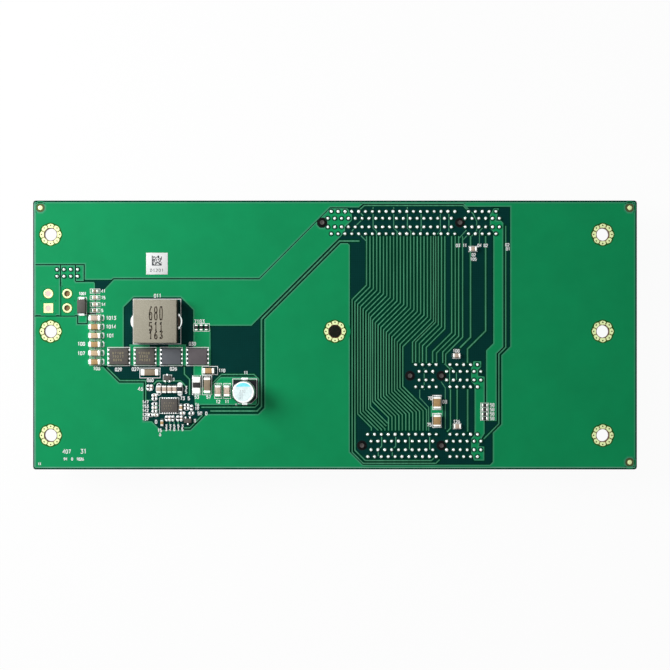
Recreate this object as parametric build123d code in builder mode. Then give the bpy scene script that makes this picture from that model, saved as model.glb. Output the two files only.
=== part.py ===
"""Riser card backplane: a printed circuit board that joins three card sockets.

The board lies soldered side up and rests on the mouths of its three sockets, which stand
underneath it. Millimetres, +Z up, the origin in the middle of the board's footprint on the
surface that the sockets rest on, +Y towards the long socket and +X towards the bare end.
"""

import os
from math import sqrt
from typing import NamedTuple

from build123d import *

# Board and its copper
board_left = -88.0
board_length = 176.0
board_width = 78.4
board_thickness = 1.6
board_corner = 0.6
copper_thickness = 0.05
copper_edge_gap = 0.45
pour_gap = 0.3
trace_width = 0.42
wide_trace_width = 0.5

# Fixing holes with their plated pads, and the sighting dots
fixing_hole_diameter = 4.0
fixing_pad_width = 6.5
fixing_pad_opening = 4.5
fixing_clearance_width = 7.1
fixing_left_margin = 5.1
fixing_right_margin = 9.95
fixing_top_margin = 9.9
fixing_bottom_margin = 9.95
fixing_middle_y = 1.05
sighting_dot_diameter = 1.3
sighting_clearance_width = 2.7
sighting_margin = 2.1

# Card sockets, all with one section, given from the key peg of each
socket_height = 11.25
socket_width = 7.5
socket_edge_chamfer = 0.4
contact_pitch = 1.0
inner_row_offset = 1.25
outer_row_offset = 3.25
pins_before_key = 11
key_to_pin = 1.5
last_pin_to_peg = 1.65
peg_to_housing_end = 1.35
first_pin_to_housing_end = 3.0
peg_diameter = 2.3
peg_hole_clearance = 0.2
peg_reach = 0.75
peg_opening_width = 3.0
slot_width = 2.9
slot_end_room = 0.85
key_web = 1.7
foot_pocket_width = 6.9
foot_pocket_depth = 0.6
foot_pocket_web = 2.4

# Spring contacts of the sockets
contact_width = 0.5
contact_thickness = 0.3
contact_tip_offset = 0.6
contact_mouth_depth = 2.0

# Solder joints of the pins on the upper face
joint_base = 1.35
joint_height = 1.4

# Places of the sockets: key peg x, row y and number of pins a side
x8_key_x = 36.4
x8_inset = 6.45
x8_pins = 49
narrow_key_x = 31.0
x4_inset = 7.02
x4_pins = 32
card_pitch = 20.32
x1_pins = 18

# Pin header on the far side
header_x = -78.0
header_y = 18.1
header_pitch = 2.0
header_columns = 4
header_rows = 2
header_base_height = 2.0
header_pin_width = 0.5
header_pin_reach = 4.0
header_joint_base = 1.2
header_joint_height = 1.2

# Four holes of the power input
input_hole_x = -80.8
input_hole_y = 9.95
input_hole_spacing_x = 5.5
input_hole_spacing_y = 4.2
input_hole_diameter = 1.8
input_pad_width = 2.8
input_pad_clearance = 0.35

# Power inductor
inductor_x = -51.9
inductor_y = 3.95
inductor_width = 12.6
inductor_height = 5.0
inductor_corner = 0.7
inductor_seat = 0.3
lug_width = 3.9
lug_reach = 1.2
lug_height = 1.6

# Can capacitor
can_x = -26.3
can_y = -16.4
can_diameter = 6.3
can_height = 7.7
can_base_width = 6.6
can_base_corner = 1.2
can_base_height = 1.2
can_rim_chamfer = 0.35
can_mark_chord = 1.6
can_mark_inset = 0.4
can_mark_thickness = 0.05
can_lug_width = 0.9
can_lug_reach = 0.6
can_lug_thickness = 0.25

# Power transistors, in a row
transistor_y = -6.25
transistor_first_x = -62.95
transistor_pitch = 7.65
transistor_count = 4
transistor_length = 5.7
transistor_width = 4.9
transistor_height = 1.05
transistor_taper = 8.0
transistor_lead_pitch = 1.27
transistor_leads_a_side = 4
transistor_lead_width = 0.45
transistor_lead_reach = 0.4
transistor_lead_thickness = 0.28

# Controller chip
controller_x = -48.3
controller_y = -20.6
controller_length = 5.0
controller_width = 3.9
controller_height = 1.0
controller_lead_pitch = 0.65
controller_leads_a_side = 7
controller_lead_width = 0.32
controller_lead_reach = 0.45
controller_lead_thickness = 0.2

# Surge diode
diode_x = -73.7
diode_y = 8.35
diode_length = 4.1
diode_width = 2.6
diode_height = 2.1
diode_taper = 6.0
diode_lug_width = 1.5
diode_lug_reach = 0.75
diode_lug_height = 1.1

# Two small transistors with three legs each
small_transistor_length = 2.3
small_transistor_width = 1.3
small_transistor_height = 1.0
small_leg_width = 0.42
small_leg_reach = 0.55
small_leg_thickness = 0.25
small_leg_spacing = 1.3

# Stuck-on code label
label_x = -51.9
label_y = 20.8
label_width = 6.3
label_height = 6.35
label_thickness = 0.1

# Levels and board edges that follow. Parts stand at places from the left edge, so that a change
# of the board's length moves its bare right end.
board_bottom = socket_height
board_top = board_bottom + board_thickness
copper_top = board_top + copper_thickness
left_edge = board_left
right_edge = left_edge + board_length
top_edge = board_width / 2
bottom_edge = -board_width / 2
x8_y = top_edge - x8_inset
x4_y = bottom_edge + x4_inset
x1_y = x4_y + card_pitch


class Socket(NamedTuple):
    """One card socket: its name, the place of its key peg and its pins a side."""

    name: str
    x: float
    y: float
    pins: int

    def pin_x(self, number):
        """Return the x of a pin pair, numbered from the short end of the slot."""
        if number <= pins_before_key:
            return self.x + key_to_pin + (pins_before_key - number) * contact_pitch
        return self.x - key_to_pin - (number - pins_before_key - 1) * contact_pitch

    def far_peg_x(self):
        """Return the x of the peg at the long end."""
        return self.pin_x(self.pins) - last_pin_to_peg

    def pin_places(self, numbers, offset):
        """Return the places of the given pins in the two rows at one offset."""
        rows = (self.y - offset, self.y + offset)
        return [(self.pin_x(number), row) for number in numbers for row in rows]


class Chip(NamedTuple):
    """A small two-ended part: centre, length, width, height, length of an end, upright or not."""

    x: float
    y: float
    length: float
    width: float
    height: float
    end: float
    upright: bool = False


x8 = Socket("x8", x8_key_x, x8_y, x8_pins)
x1 = Socket("x1", narrow_key_x, x1_y, x1_pins)
x4 = Socket("x4", narrow_key_x, x4_y, x4_pins)
sockets = (x8, x1, x4)

os.makedirs("parts", exist_ok=True)


def finish(piece, label):
    """Label a finished piece and write its STEP file."""
    piece.part.label = label
    export_step(piece.part, f"parts/{label}.step")


def add_outline(points, mode=Mode.ADD):
    """Add a closed outline to the sketch that is being built."""
    Polygon(*points, align=None, mode=mode)


def add_box_outline(left, bottom, right, top, mode=Mode.ADD):
    """Add a rectangle, given by its edges, to the sketch that is being built."""
    with Locations(((left + right) / 2, (bottom + top) / 2)):
        Rectangle(right - left, top - bottom, mode=mode)


def octagon(width, mode=Mode.ADD):
    """Add an octagon, given across its flats, at each of the active places."""
    RegularPolygon(width / 2, 8, major_radius=False, rotation=180 / 8, mode=mode)


fixing_places = [
    (left_edge + fixing_left_margin, top_edge - fixing_top_margin),
    (left_edge + fixing_left_margin, fixing_middle_y),
    (left_edge + fixing_left_margin, bottom_edge + fixing_bottom_margin),
    (0, fixing_middle_y),
    (right_edge - fixing_right_margin, top_edge - fixing_top_margin),
    (right_edge - fixing_right_margin, fixing_middle_y),
    (right_edge - fixing_right_margin, bottom_edge + fixing_bottom_margin),
]
sighting_places = [
    (left_edge + sighting_margin, top_edge - sighting_margin),
    (right_edge - sighting_margin, top_edge - sighting_margin),
    (right_edge - sighting_margin, bottom_edge + sighting_margin),
]
input_pad_x = (input_hole_x - input_hole_spacing_x / 2, input_hole_x + input_hole_spacing_x / 2)
input_pad_y = (input_hole_y - input_hole_spacing_y / 2, input_hole_y + input_hole_spacing_y / 2)


# Bare board with its fixing, peg and power input holes
with BuildPart() as laminate:
    with BuildSketch(Plane.XY.offset(board_bottom)) as board_outline:
        add_box_outline(left_edge, bottom_edge, right_edge, top_edge)
        chamfer(board_outline.vertices(), length=board_corner)
        with Locations(*fixing_places):
            Circle(fixing_hole_diameter / 2, mode=Mode.SUBTRACT)
        with Locations(*[(place, s.y) for s in sockets for place in (s.x, s.far_peg_x())]):
            octagon(peg_diameter + peg_hole_clearance, Mode.SUBTRACT)
        with Locations((input_hole_x, input_hole_y)):
            with GridLocations(input_hole_spacing_x, input_hole_spacing_y, 2, 2):
                octagon(input_hole_diameter, Mode.SUBTRACT)
    extrude(amount=board_thickness)
finish(laminate, "laminate")


def make_housing(socket):
    """Build a socket housing, mouth down, with its slot, key web, foot pocket and pegs."""
    start = socket.far_peg_x() - peg_to_housing_end
    end = socket.pin_x(1) + first_pin_to_housing_end
    last_x = socket.pin_x(socket.pins) - slot_end_room
    first_x = socket.pin_x(1) + slot_end_room
    slot_halves = ((last_x, socket.x - key_web / 2), (socket.x + key_web / 2, first_x))
    pocket_halves = (
        (last_x, socket.x - foot_pocket_web / 2),
        (socket.x + foot_pocket_web / 2, first_x),
    )
    with BuildPart() as housing:
        with BuildSketch(Plane.XY):
            with Locations(((start + end) / 2, socket.y)):
                Rectangle(end - start, socket_width)
        extrude(amount=socket_height)
        mouth_edges = housing.faces().sort_by(Axis.Z)[0].edges().filter_by(Axis.X)
        chamfer(mouth_edges, length=socket_edge_chamfer)
        with BuildSketch(Plane.XY):
            for low, high in slot_halves:
                with Locations(((low + high) / 2, socket.y)):
                    Rectangle(high - low, slot_width)
        extrude(amount=socket_height, mode=Mode.SUBTRACT)
        with BuildSketch(Plane.XY.offset(socket_height)):
            for low, high in pocket_halves:
                with Locations(((low + high) / 2, socket.y)):
                    Rectangle(high - low, foot_pocket_width)
        extrude(amount=-foot_pocket_depth, mode=Mode.SUBTRACT)
        with BuildSketch(Plane.XY.offset(socket_height)):
            with Locations((socket.x, socket.y), (socket.far_peg_x(), socket.y)):
                octagon(peg_diameter)
        extrude(amount=board_thickness + peg_reach)
    return housing


# Spring contacts: a leaf that tapers towards the mouth, straight for the inner row of pins and
# with a tapered foot under the board for the outer row. Both end at the board's underside.
leaf_root = inner_row_offset + contact_thickness / 2
with BuildPart() as inner_contact:
    with BuildSketch(Plane.YZ):
        with BuildLine():
            Polyline(
                (contact_tip_offset, contact_mouth_depth),
                (leaf_root, board_bottom),
                (leaf_root - contact_thickness, board_bottom),
                close=True,
            )
        make_face()
    extrude(amount=contact_width / 2, both=True)

with BuildPart() as outer_contact:
    with BuildSketch(Plane.YZ):
        with BuildLine():
            Polyline(
                (contact_tip_offset, contact_mouth_depth),
                (leaf_root, board_bottom - contact_thickness),
                (outer_row_offset + contact_thickness / 2, board_bottom),
                (leaf_root - contact_thickness, board_bottom),
                close=True,
            )
        make_face()
    extrude(amount=contact_width / 2, both=True)


def make_contacts(socket):
    """Place a contact for every pin of a socket, on both sides of its slot."""
    with BuildPart() as contacts:
        for first, contact in ((1, inner_contact), (2, outer_contact)):
            numbers = range(first, socket.pins + 1, 2)
            places = [Location((socket.pin_x(n), socket.y, 0)) for n in numbers]
            turned = [Location((socket.pin_x(n), socket.y, 0), (0, 0, 180)) for n in numbers]
            with Locations(*places, *turned):
                add(contact.part)
    return contacts


def make_joints(places, base, height):
    """Build a solder joint that runs up to the pin's tip, as a pyramid, at each place."""
    with BuildPart() as joint:
        with BuildSketch(Plane.XY.offset(copper_top)) as foot:
            Rectangle(base, base)
        loft([foot.sketch.face(), Vertex(0, 0, copper_top + height)])
    with BuildPart() as joints:
        with Locations(*places):
            add(joint.part)
    return joints


for socket in sockets:
    finish(make_housing(socket), f"{socket.name}_socket_housing")
    finish(make_contacts(socket), f"{socket.name}_socket_contacts")
    inner_pins = socket.pin_places(range(1, socket.pins + 1, 2), inner_row_offset)
    outer_pins = socket.pin_places(range(2, socket.pins + 1, 2), outer_row_offset)
    socket_joints = make_joints(inner_pins + outer_pins, joint_base, joint_height)
    finish(socket_joints, f"{socket.name}_solder_joints")


# Pin header on the far side, with its joints on this side
with BuildPart() as header_base:
    with BuildSketch(Plane.XY.offset(board_bottom)):
        with Locations((header_x, header_y)):
            Rectangle(header_columns * header_pitch, header_rows * header_pitch)
            with GridLocations(header_pitch, header_pitch, header_columns, header_rows):
                Rectangle(header_pin_width, header_pin_width, mode=Mode.SUBTRACT)
    extrude(amount=-header_base_height)
finish(header_base, "header_base")

with BuildPart() as header_pins:
    with BuildSketch(Plane.XY.offset(board_bottom)):
        with Locations((header_x, header_y)):
            with GridLocations(header_pitch, header_pitch, header_columns, header_rows):
                Rectangle(header_pin_width, header_pin_width)
    extrude(amount=-header_base_height - header_pin_reach)
finish(header_pins, "header_pins")

with Locations((header_x, header_y)):
    header_grid = GridLocations(header_pitch, header_pitch, header_columns, header_rows)
    header_places = [tuple(place.position)[:2] for place in header_grid.locations]
header_joints = make_joints(header_places, header_joint_base, header_joint_height)
finish(header_joints, "header_solder_joints")


def make_trace(points, width=trace_width):
    """Build a copper trace of one width along straight runs."""
    route = [Vector(*point) for point in points]
    left_side = []
    right_side = []
    for index, point in enumerate(route):
        before = route[index] - route[index - 1] if index else route[1] - route[0]
        after = route[index + 1] - point if index + 1 < len(route) else before
        middle = before.normalized() + after.normalized()
        across = Vector(-middle.Y, middle.X).normalized()
        reach = width / sqrt(2 * (1 + before.normalized().dot(after.normalized())))
        left_side.append(point + across * reach)
        right_side.append(point - across * reach)
    add_outline([*left_side, *reversed(right_side)])


# Lines that the pours share
foil_left = left_edge + copper_edge_gap
foil_right = right_edge - copper_edge_gap
foil_top = top_edge - copper_edge_gap
foil_bottom = bottom_edge + copper_edge_gap
half_gap = pour_gap / 2
input_top = 20.5
input_bottom = 5.63
input_split_x = -80.0
header_tab_x = -75.65
header_tab_y = 15.6
header_tab_right = -73.1
supply_top = 16.4
supply_left = -69.7
supply_corner_x = -22.1
window_top = x8_y + 4.45
window_left = 4.3
window_bottom = x4_y - 5.67
window_right = 51.1
slot_supply_right = 49.05
converter_right = -20.6
converter_bottom = -23.05
loop_diagonal = 26.06
ground_diagonal = 25.14
supply_diagonal = 27.05
supply_floor = 2.7
supply_shoulder_y = 12.9
window_step_y = x1_y + 8.56
window_low_step_y = x1_y + 5.96
loop_x = -21.46
loop_bottom = -22.15
loop_top = x8_y - 5.35

# Main ground foil, all round the pours and the field of traces
with BuildPart() as ground_plane:
    with BuildSketch(Plane.XY.offset(board_top)):
        add_outline(
            [
                (foil_left, foil_top),
                (foil_left, input_top + half_gap),
                (header_tab_right + half_gap, input_top + half_gap),
                (header_tab_right + half_gap, header_tab_y + 0.5),
                (-65.15, header_tab_y + 0.5),
                (-64.6, supply_top + half_gap),
                (supply_corner_x, supply_top + half_gap),
                (supply_corner_x + window_top - supply_top - half_gap, window_top),
                (7.0, window_top),
                (8.1, window_top + 1.0),
                (37.4, window_top + 1.0),
                (38.2, window_top + 0.2),
                (window_right, window_top + 0.2),
                (window_right, window_step_y),
                (48.5, window_low_step_y),
                (48.5, x4_y + 6.2),
                (46.0, x4_y + 3.7),
                (46.0, window_bottom + 0.85),
                (45.15, window_bottom),
                (8.1, window_bottom),
                (window_left, window_bottom + 3.8),
                (window_left, loop_top - 1.2),
                (window_left - 0.6, loop_top - 0.6),
                (loop_top - 0.6 - ground_diagonal, loop_top - 0.6),
                (converter_right, converter_right + ground_diagonal),
                (converter_right, converter_bottom + 1.8),
                (converter_right - 1.8, converter_bottom),
                (-37.5, converter_bottom),
                (-42.1, converter_bottom - 4.6),
                (-50.9, converter_bottom - 4.6),
                (-53.4, converter_bottom - 2.1),
                (-55.8, converter_bottom - 2.1),
                (-55.8, -13.9),
                (-62.9, -13.9),
                (-67.6, -9.2),
                (supply_left - pour_gap, -9.2),
                (supply_left - pour_gap, 6.1),
                (-72.05, 6.1),
                (-72.05, 3.15),
                (-75.15, 3.15),
                (-75.15, input_bottom - half_gap),
                (foil_left, input_bottom - half_gap),
                (foil_left, foil_bottom),
                (foil_right, foil_bottom),
                (foil_right, foil_top),
            ]
        )
        with Locations(*fixing_places):
            octagon(fixing_clearance_width, Mode.SUBTRACT)
        with Locations(*sighting_places):
            octagon(sighting_clearance_width, Mode.SUBTRACT)
    extrude(amount=copper_thickness)
finish(ground_plane, "ground_plane")


def cut_pad_openings(side):
    """Open the pour that is being drawn round the two power input pads of one side."""
    opening = input_pad_width + 2 * input_pad_clearance
    with Locations(*[(input_pad_x[side], y) for y in input_pad_y]):
        Rectangle(opening, opening, mode=Mode.SUBTRACT)


with BuildPart() as input_positive_pour:
    with BuildSketch(Plane.XY.offset(board_top)):
        low = input_bottom + half_gap
        add_box_outline(foil_left, low, input_split_x - half_gap, input_top - half_gap)
        cut_pad_openings(0)
    extrude(amount=copper_thickness)
finish(input_positive_pour, "input_positive_pour")

with BuildPart() as input_return_pour:
    with BuildSketch(Plane.XY.offset(board_top)):
        add_outline(
            [
                (input_split_x + half_gap, input_top - half_gap),
                (header_tab_x - half_gap, input_top - half_gap),
                (header_tab_x - half_gap, header_tab_y + 0.2),
                (header_tab_x + half_gap, header_tab_y - half_gap),
                (supply_left - pour_gap - 0.3, header_tab_y - half_gap),
                (supply_left - pour_gap, header_tab_y - 0.5),
                (supply_left - pour_gap, 6.5),
                (-75.0, 6.5),
                (-75.0, input_bottom + half_gap),
                (input_split_x + half_gap, input_bottom + half_gap),
            ]
        )
        cut_pad_openings(1)
    extrude(amount=copper_thickness)
finish(input_return_pour, "input_return_pour")

with BuildPart() as input_supply_pour:
    with BuildSketch(Plane.XY.offset(board_top)):
        add_outline(
            [
                (supply_left, supply_shoulder_y),
                (-67.6, supply_shoulder_y),
                (-64.45, supply_top - half_gap),
                (supply_corner_x, supply_top - half_gap),
                (supply_corner_x + window_top - supply_top - half_gap, window_top - pour_gap),
                (3.6, window_top - pour_gap),
                (4.9, x8_y + 2.4),
                (4.9, x8_y + 0.7),
                (2.9, x8_y - 1.3),
                (2.9, x8_y - 2.6),
                (x8_y - 4.1 - supply_diagonal, x8_y - 4.1),
                (supply_floor - supply_diagonal, supply_floor),
                (-41.3, supply_floor),
                (-41.3, 7.3),
                (-45.0, 11.0),
                (-58.7, 11.0),
                (-61.6, 8.1),
                (-61.6, -8.9),
                (supply_left, -8.9),
            ]
        )
        with Locations((x8.far_peg_x(), x8.y)):
            octagon(peg_opening_width, Mode.SUBTRACT)
    extrude(amount=copper_thickness)
finish(input_supply_pour, "input_supply_pour")

with BuildPart() as output_pour:
    with BuildSketch(Plane.XY.offset(board_top)):
        add_outline(
            [
                (-41.25, 1.9),
                (-36.3, 1.9),
                (-36.3, -9.0),
                (-38.4, -9.0),
                (-38.4, -11.9),
                (-41.25, -11.9),
            ]
        )
        add_outline(
            [
                (-33.3, -12.2),
                (-22.75, -12.2),
                (-22.75, -19.9),
                (-23.2, -20.4),
                (-40.9, -20.4),
                (-40.9, -15.3),
                (-36.0, -15.3),
                (-36.0, -14.9),
            ]
        )
    extrude(amount=copper_thickness)
finish(output_pour, "output_pour")

with BuildPart() as small_pours:
    with BuildSketch(Plane.XY.offset(board_top)):
        low = header_tab_y + half_gap
        high = input_top - half_gap
        add_box_outline(header_tab_x + half_gap, low, header_tab_right - half_gap, high)
        add_box_outline(-74.85, 3.45, -72.35, 6.1)
        add_box_outline(-59.9, -8.9, -54.0, -2.75)
        add_box_outline(-52.4, -8.9, -51.0, -3.5)
        add_box_outline(-48.6, -8.9, -43.4, -2.75)
        add_box_outline(27.9, x4_y + 8.38, 31.5, x4_y + 11.48)
    extrude(amount=copper_thickness)
finish(small_pours, "small_pours")

with BuildPart() as slot_supply_pour:
    with BuildSketch(Plane.XY.offset(board_top)):
        add_outline(
            [
                (45.15, x8_y - 1.7),
                (45.15, x8_y + 2.2),
                (46.3, x8_y + 4.15),
                (47.75, x8_y + 4.15),
                (47.0, x8_y + 0.6),
                (48.4, x8_y + 0.6),
                (slot_supply_right, x8_y - 0.1),
                (slot_supply_right, x1_y + 8.36),
                (47.1, x1_y + 6.41),
                (47.1, x4_y + 7.13),
                (44.05, x4_y + 7.13),
                (44.05, x1_y + 7.36),
                (46.15, x1_y + 9.46),
                (46.15, x8_y - 2.7),
            ]
        )
        add_outline(
            [
                (40.4, x1_y + 4.2),
                (42.6, x1_y + 4.2),
                (42.6, x1_y + 2.6),
                (41.7, x1_y + 1.7),
                (41.7, x1_y),
                (43.6, x1_y - 0.3),
                (43.6, x4_y + 3.4),
                (42.9, x4_y + 2.4),
                (41.9, x4_y - 0.2),
                (43.5, x4_y - 0.4),
                (43.5, x4_y - 4.4),
                (40.6, x4_y - 4.4),
                (39.7, x4_y - 2.6),
                (39.7, x4_y + 1.9),
                (40.7, x4_y + 3.2),
                (40.7, x1_y - 2.7),
                (39.7, x1_y - 1.7),
                (39.7, x1_y + 2.1),
            ]
        )
    extrude(amount=copper_thickness)
finish(slot_supply_pour, "slot_supply_pour")


# Data traces from the long socket down to the two narrow ones. The long bundle runs at three
# pitches: that of the long socket, a closer one down the middle and that of the x4 socket. A
# diagonal is given by its height above a socket's row where it would cross x = 0.
bundle_count = 20
bundle_first_x = 9.2
bundle_top_pitch = 0.985
bundle_middle_x = 5.0
bundle_middle_pitch = 0.8
bundle_split = 8
bundle_split_x = 10.95
bundle_low_split_x = 15.6
bundle_low_pitch = 1.007
upper_diagonal = 17.21
upper_diagonal_step = 1.5
lower_diagonal = 23.73
lower_diagonal_step = 1.205
inner_diagonal = 15.78
inner_diagonal_step = 1.2
top_end_y = x8_y - 3.9
low_end_y = x4_y + 4.3


def upper_run(top_x, diagonal, middle_x):
    """Return the first points of a trace: down from the long socket and aside at 45 degrees."""
    base = x1_y + diagonal
    return [(top_x, top_end_y), (top_x, base + top_x), (middle_x, base + middle_x)]


def bundle_routes():
    """Return the routes of the traces that run from the x8 to the x4 socket."""
    routes = []
    for index in range(bundle_count):
        top_x = bundle_first_x + index * bundle_top_pitch
        diagonal = upper_diagonal - index * upper_diagonal_step
        if index < bundle_split:
            middle_x = bundle_middle_x + index * bundle_middle_pitch
        else:
            middle_x = bundle_split_x + (index - bundle_split) * bundle_middle_pitch
        if index == bundle_split - 1:
            middle_x -= 0.25
        points = upper_run(top_x, diagonal, middle_x)
        if index < 2:
            corner_y = x4_y - 2.0 + 0.6 * index
            row_y = window_bottom + 0.45 + 0.8 * index
            points += [
                (middle_x, corner_y),
                (middle_x + corner_y - row_y, row_y),
                (29.4 - 1.3 * index, row_y),
                (30.5 - 1.3 * index, row_y + 1.1),
            ]
        else:
            if index < bundle_split:
                turn = inner_diagonal + (index - 2) * inner_diagonal_step
                low_x = (10.6, 12.6, 13.55, 14.55, 15.0, 15.35)[index - 2]
            else:
                turn = lower_diagonal + (index - bundle_split) * lower_diagonal_step
                low_x = bundle_low_split_x + (index - bundle_split) * bundle_low_pitch
            points += [(middle_x, x4_y + turn - middle_x), (low_x, x4_y + turn - low_x)]
            if index not in (6, 7):
                points += [(low_x, low_end_y)]
        routes.append(points)
    return routes


x1_top = x1_y + 3.7
with BuildPart() as data_traces:
    with BuildSketch(Plane.XY.offset(board_top)):
        for route in bundle_routes():
            make_trace(route)
        for top_x, diagonal, low_x in (
            (28.7, -12.79, 22.6),
            (29.35, -13.74, 23.5),
            (30.1, -15.24, 24.6),
            (31.05, -16.79, 25.5),
            (32.0, -18.34, 26.6),
            (34.0, -21.44, 28.45),
            (35.05, -22.99, 29.6),
            (36.05, -24.49, 31.4),
        ):
            make_trace([*upper_run(top_x, diagonal, low_x), (low_x, x1_top)])
        make_trace([*upper_run(37.2, -25.99, 32.25), (32.25, x1_y + 3.2), (33.7, x1_y + 1.75)])
        make_trace([(39.5, top_end_y), (39.5, x1_y + 11.21), (36.4, x1_y + 8.11)], wide_trace_width)
        make_trace([*upper_run(43.9, -30.84, 38.6), (38.6, x1_top)], wide_trace_width)
        make_trace([(33.65, x1_y - 3.9), (33.65, x4_y + 5.0), (32.6, x4_y + 3.95)])
        make_trace([(35.6, x1_y - 3.9), (35.6, x4_y + 7.3)])
        make_trace([(38.65, x1_y - 3.9), (38.65, x4_y + 4.0)], wide_trace_width)
        make_trace(
            [
                (49.75, x8_y - 0.9),
                (49.75, x1_y + 8.26),
                (47.75, x1_y + 6.26),
                (47.75, x4_y + 6.28),
                (43.3, x4_y + 1.83),
            ]
        )
        make_trace([(7.2, x8_y + 3.8), (8.55, x8_y + 5.0), (37.3, x8_y + 5.0), (38.6, x8_y + 3.7)])
    extrude(amount=copper_thickness)
finish(data_traces, "data_traces")

# Traces of the power converter
with BuildPart() as converter_traces:
    with BuildSketch(Plane.XY.offset(board_top)):
        make_trace(
            [
                (7.2, loop_top),
                (loop_top - loop_diagonal, loop_top),
                (loop_x, loop_x + loop_diagonal),
                (loop_x, loop_bottom + 1.25),
                (loop_x - 1.25, loop_bottom),
                (-36.4, loop_bottom),
            ],
            wide_trace_width,
        )
        make_trace(
            [
                (-35.7, -14.1),
                (-33.1, -11.5),
                (-23.6, -11.5),
                (-22.25, -12.85),
                (-22.25, -20.0),
                (-23.3, -21.05),
                (-39.0, -21.05),
            ]
        )
        make_trace([(-66.6, -9.4), (-62.7, -13.3), (-55.2, -13.3), (-55.2, -19.0)])
        make_trace([(-52.9, -14.4), (-51.9, -13.4), (-45.0, -13.4), (-43.4, -15.0)])
        make_trace([(-43.9, -9.2), (-43.9, -11.4), (-42.4, -12.9), (-42.4, -17.6)])
        make_trace([(-44.0, -27.05), (-42.3, -27.05), (-38.6, -23.35)])
    extrude(amount=copper_thickness)
finish(converter_traces, "converter_traces")

# Bare plated copper: rings of the fixing holes, power input pads and sighting dots
with BuildPart() as fixing_pads:
    with BuildSketch(Plane.XY.offset(board_top)):
        with Locations(*fixing_places):
            octagon(fixing_pad_width)
            octagon(fixing_pad_opening, Mode.SUBTRACT)
    extrude(amount=copper_thickness)
finish(fixing_pads, "fixing_pads")

with BuildPart() as power_input_pads:
    with BuildSketch(Plane.XY.offset(board_top)):
        with Locations((input_pad_x[0], input_pad_y[0])):
            Rectangle(input_pad_width, input_pad_width)
        with Locations(
            (input_pad_x[0], input_pad_y[1]),
            (input_pad_x[1], input_pad_y[0]),
            (input_pad_x[1], input_pad_y[1]),
        ):
            octagon(input_pad_width)
        with Locations(*[(x, y) for x in input_pad_x for y in input_pad_y]):
            octagon(input_hole_diameter, Mode.SUBTRACT)
    extrude(amount=copper_thickness)
finish(power_input_pads, "power_input_pads")

with BuildPart() as sighting_dots:
    with BuildSketch(Plane.XY.offset(board_top)):
        with Locations(*sighting_places):
            octagon(sighting_dot_diameter)
    extrude(amount=copper_thickness)
finish(sighting_dots, "sighting_dots")


# Power inductor: a pressed block a little off the board, with a round lug at either side
with BuildPart() as inductor_core:
    with BuildSketch(Plane.XY.offset(copper_top + inductor_seat)) as core_outline:
        with Locations((inductor_x, inductor_y)):
            Rectangle(inductor_width, inductor_width)
        chamfer(core_outline.vertices(), length=inductor_corner)
    extrude(amount=inductor_height - inductor_seat)
finish(inductor_core, "inductor_core")

with BuildPart() as inductor_terminals:
    with BuildSketch(Plane.XY.offset(copper_top)):
        for side in (-1, 1):
            wall_x = inductor_x + side * inductor_width / 2
            add_outline(
                [
                    (wall_x - side * lug_width / 2, inductor_y - lug_width / 2),
                    (wall_x + side * lug_reach / 2, inductor_y - lug_width / 2),
                    (wall_x + side * lug_reach, inductor_y - lug_width / 4),
                    (wall_x + side * lug_reach, inductor_y + lug_width / 4),
                    (wall_x + side * lug_reach / 2, inductor_y + lug_width / 2),
                    (wall_x - side * lug_width / 2, inductor_y + lug_width / 2),
                ]
            )
    extrude(amount=inductor_seat)
    with BuildSketch(Plane.XY.offset(copper_top + inductor_seat)):
        for side in (-1, 1):
            wall_x = inductor_x + side * inductor_width / 2
            add_outline(
                [
                    (wall_x, inductor_y - lug_width / 2),
                    (wall_x + side * lug_reach / 2, inductor_y - lug_width / 2),
                    (wall_x + side * lug_reach, inductor_y - lug_width / 4),
                    (wall_x + side * lug_reach, inductor_y + lug_width / 4),
                    (wall_x + side * lug_reach / 2, inductor_y + lug_width / 2),
                    (wall_x, inductor_y + lug_width / 2),
                ]
            )
    extrude(amount=lug_height - inductor_seat)
finish(inductor_terminals, "inductor_terminals")


# Can capacitor: square base with two cut corners, can, polarity mark and two lugs
with BuildPart() as can_capacitor_base:
    with BuildSketch(Plane.XY.offset(copper_top)) as base_outline:
        with Locations((can_x, can_y)):
            Rectangle(can_base_width, can_base_width)
        chamfer(base_outline.vertices().group_by(Axis.Y)[0], length=can_base_corner)
    extrude(amount=can_base_height)
finish(can_capacitor_base, "can_capacitor_base")

can_top = copper_top + can_height
with BuildPart() as can_capacitor_can:
    with BuildSketch(Plane.XY.offset(copper_top + can_base_height)):
        with Locations((can_x, can_y)):
            Circle(can_diameter / 2)
    extrude(amount=can_height - can_base_height)
    rim = can_capacitor_can.faces().sort_by(Axis.Z)[-1].edges()
    chamfer(rim, length=can_rim_chamfer)
finish(can_capacitor_can, "can_capacitor_can")

with BuildPart() as can_capacitor_mark:
    with BuildSketch(Plane.XY.offset(can_top)):
        with Locations((can_x, can_y)):
            Circle(can_diameter / 2 - can_mark_inset)
        with Locations((can_x, can_y + can_mark_chord)):
            cut_width = can_diameter
            Rectangle(cut_width, can_diameter, align=(Align.CENTER, Align.MAX), mode=Mode.SUBTRACT)
    extrude(amount=can_mark_thickness)
finish(can_capacitor_mark, "can_capacitor_mark")

with BuildPart() as can_capacitor_terminals:
    with BuildSketch(Plane.XY.offset(copper_top)):
        for side in (-1, 1):
            wall_y = can_y + side * can_base_width / 2
            with Locations((can_x, wall_y + side * can_lug_reach / 2)):
                Rectangle(can_lug_width, can_lug_reach)
    extrude(amount=can_lug_thickness)
finish(can_capacitor_terminals, "can_capacitor_terminals")


def make_body(x, y, length, width, height, taper=0.0):
    """Build a moulded chip body with sloping sides, standing on the copper."""
    with BuildPart() as body:
        with BuildSketch(Plane.XY.offset(copper_top)):
            with Locations((x, y)):
                Rectangle(length, width)
        extrude(amount=height, taper=taper)
    return body


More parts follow.
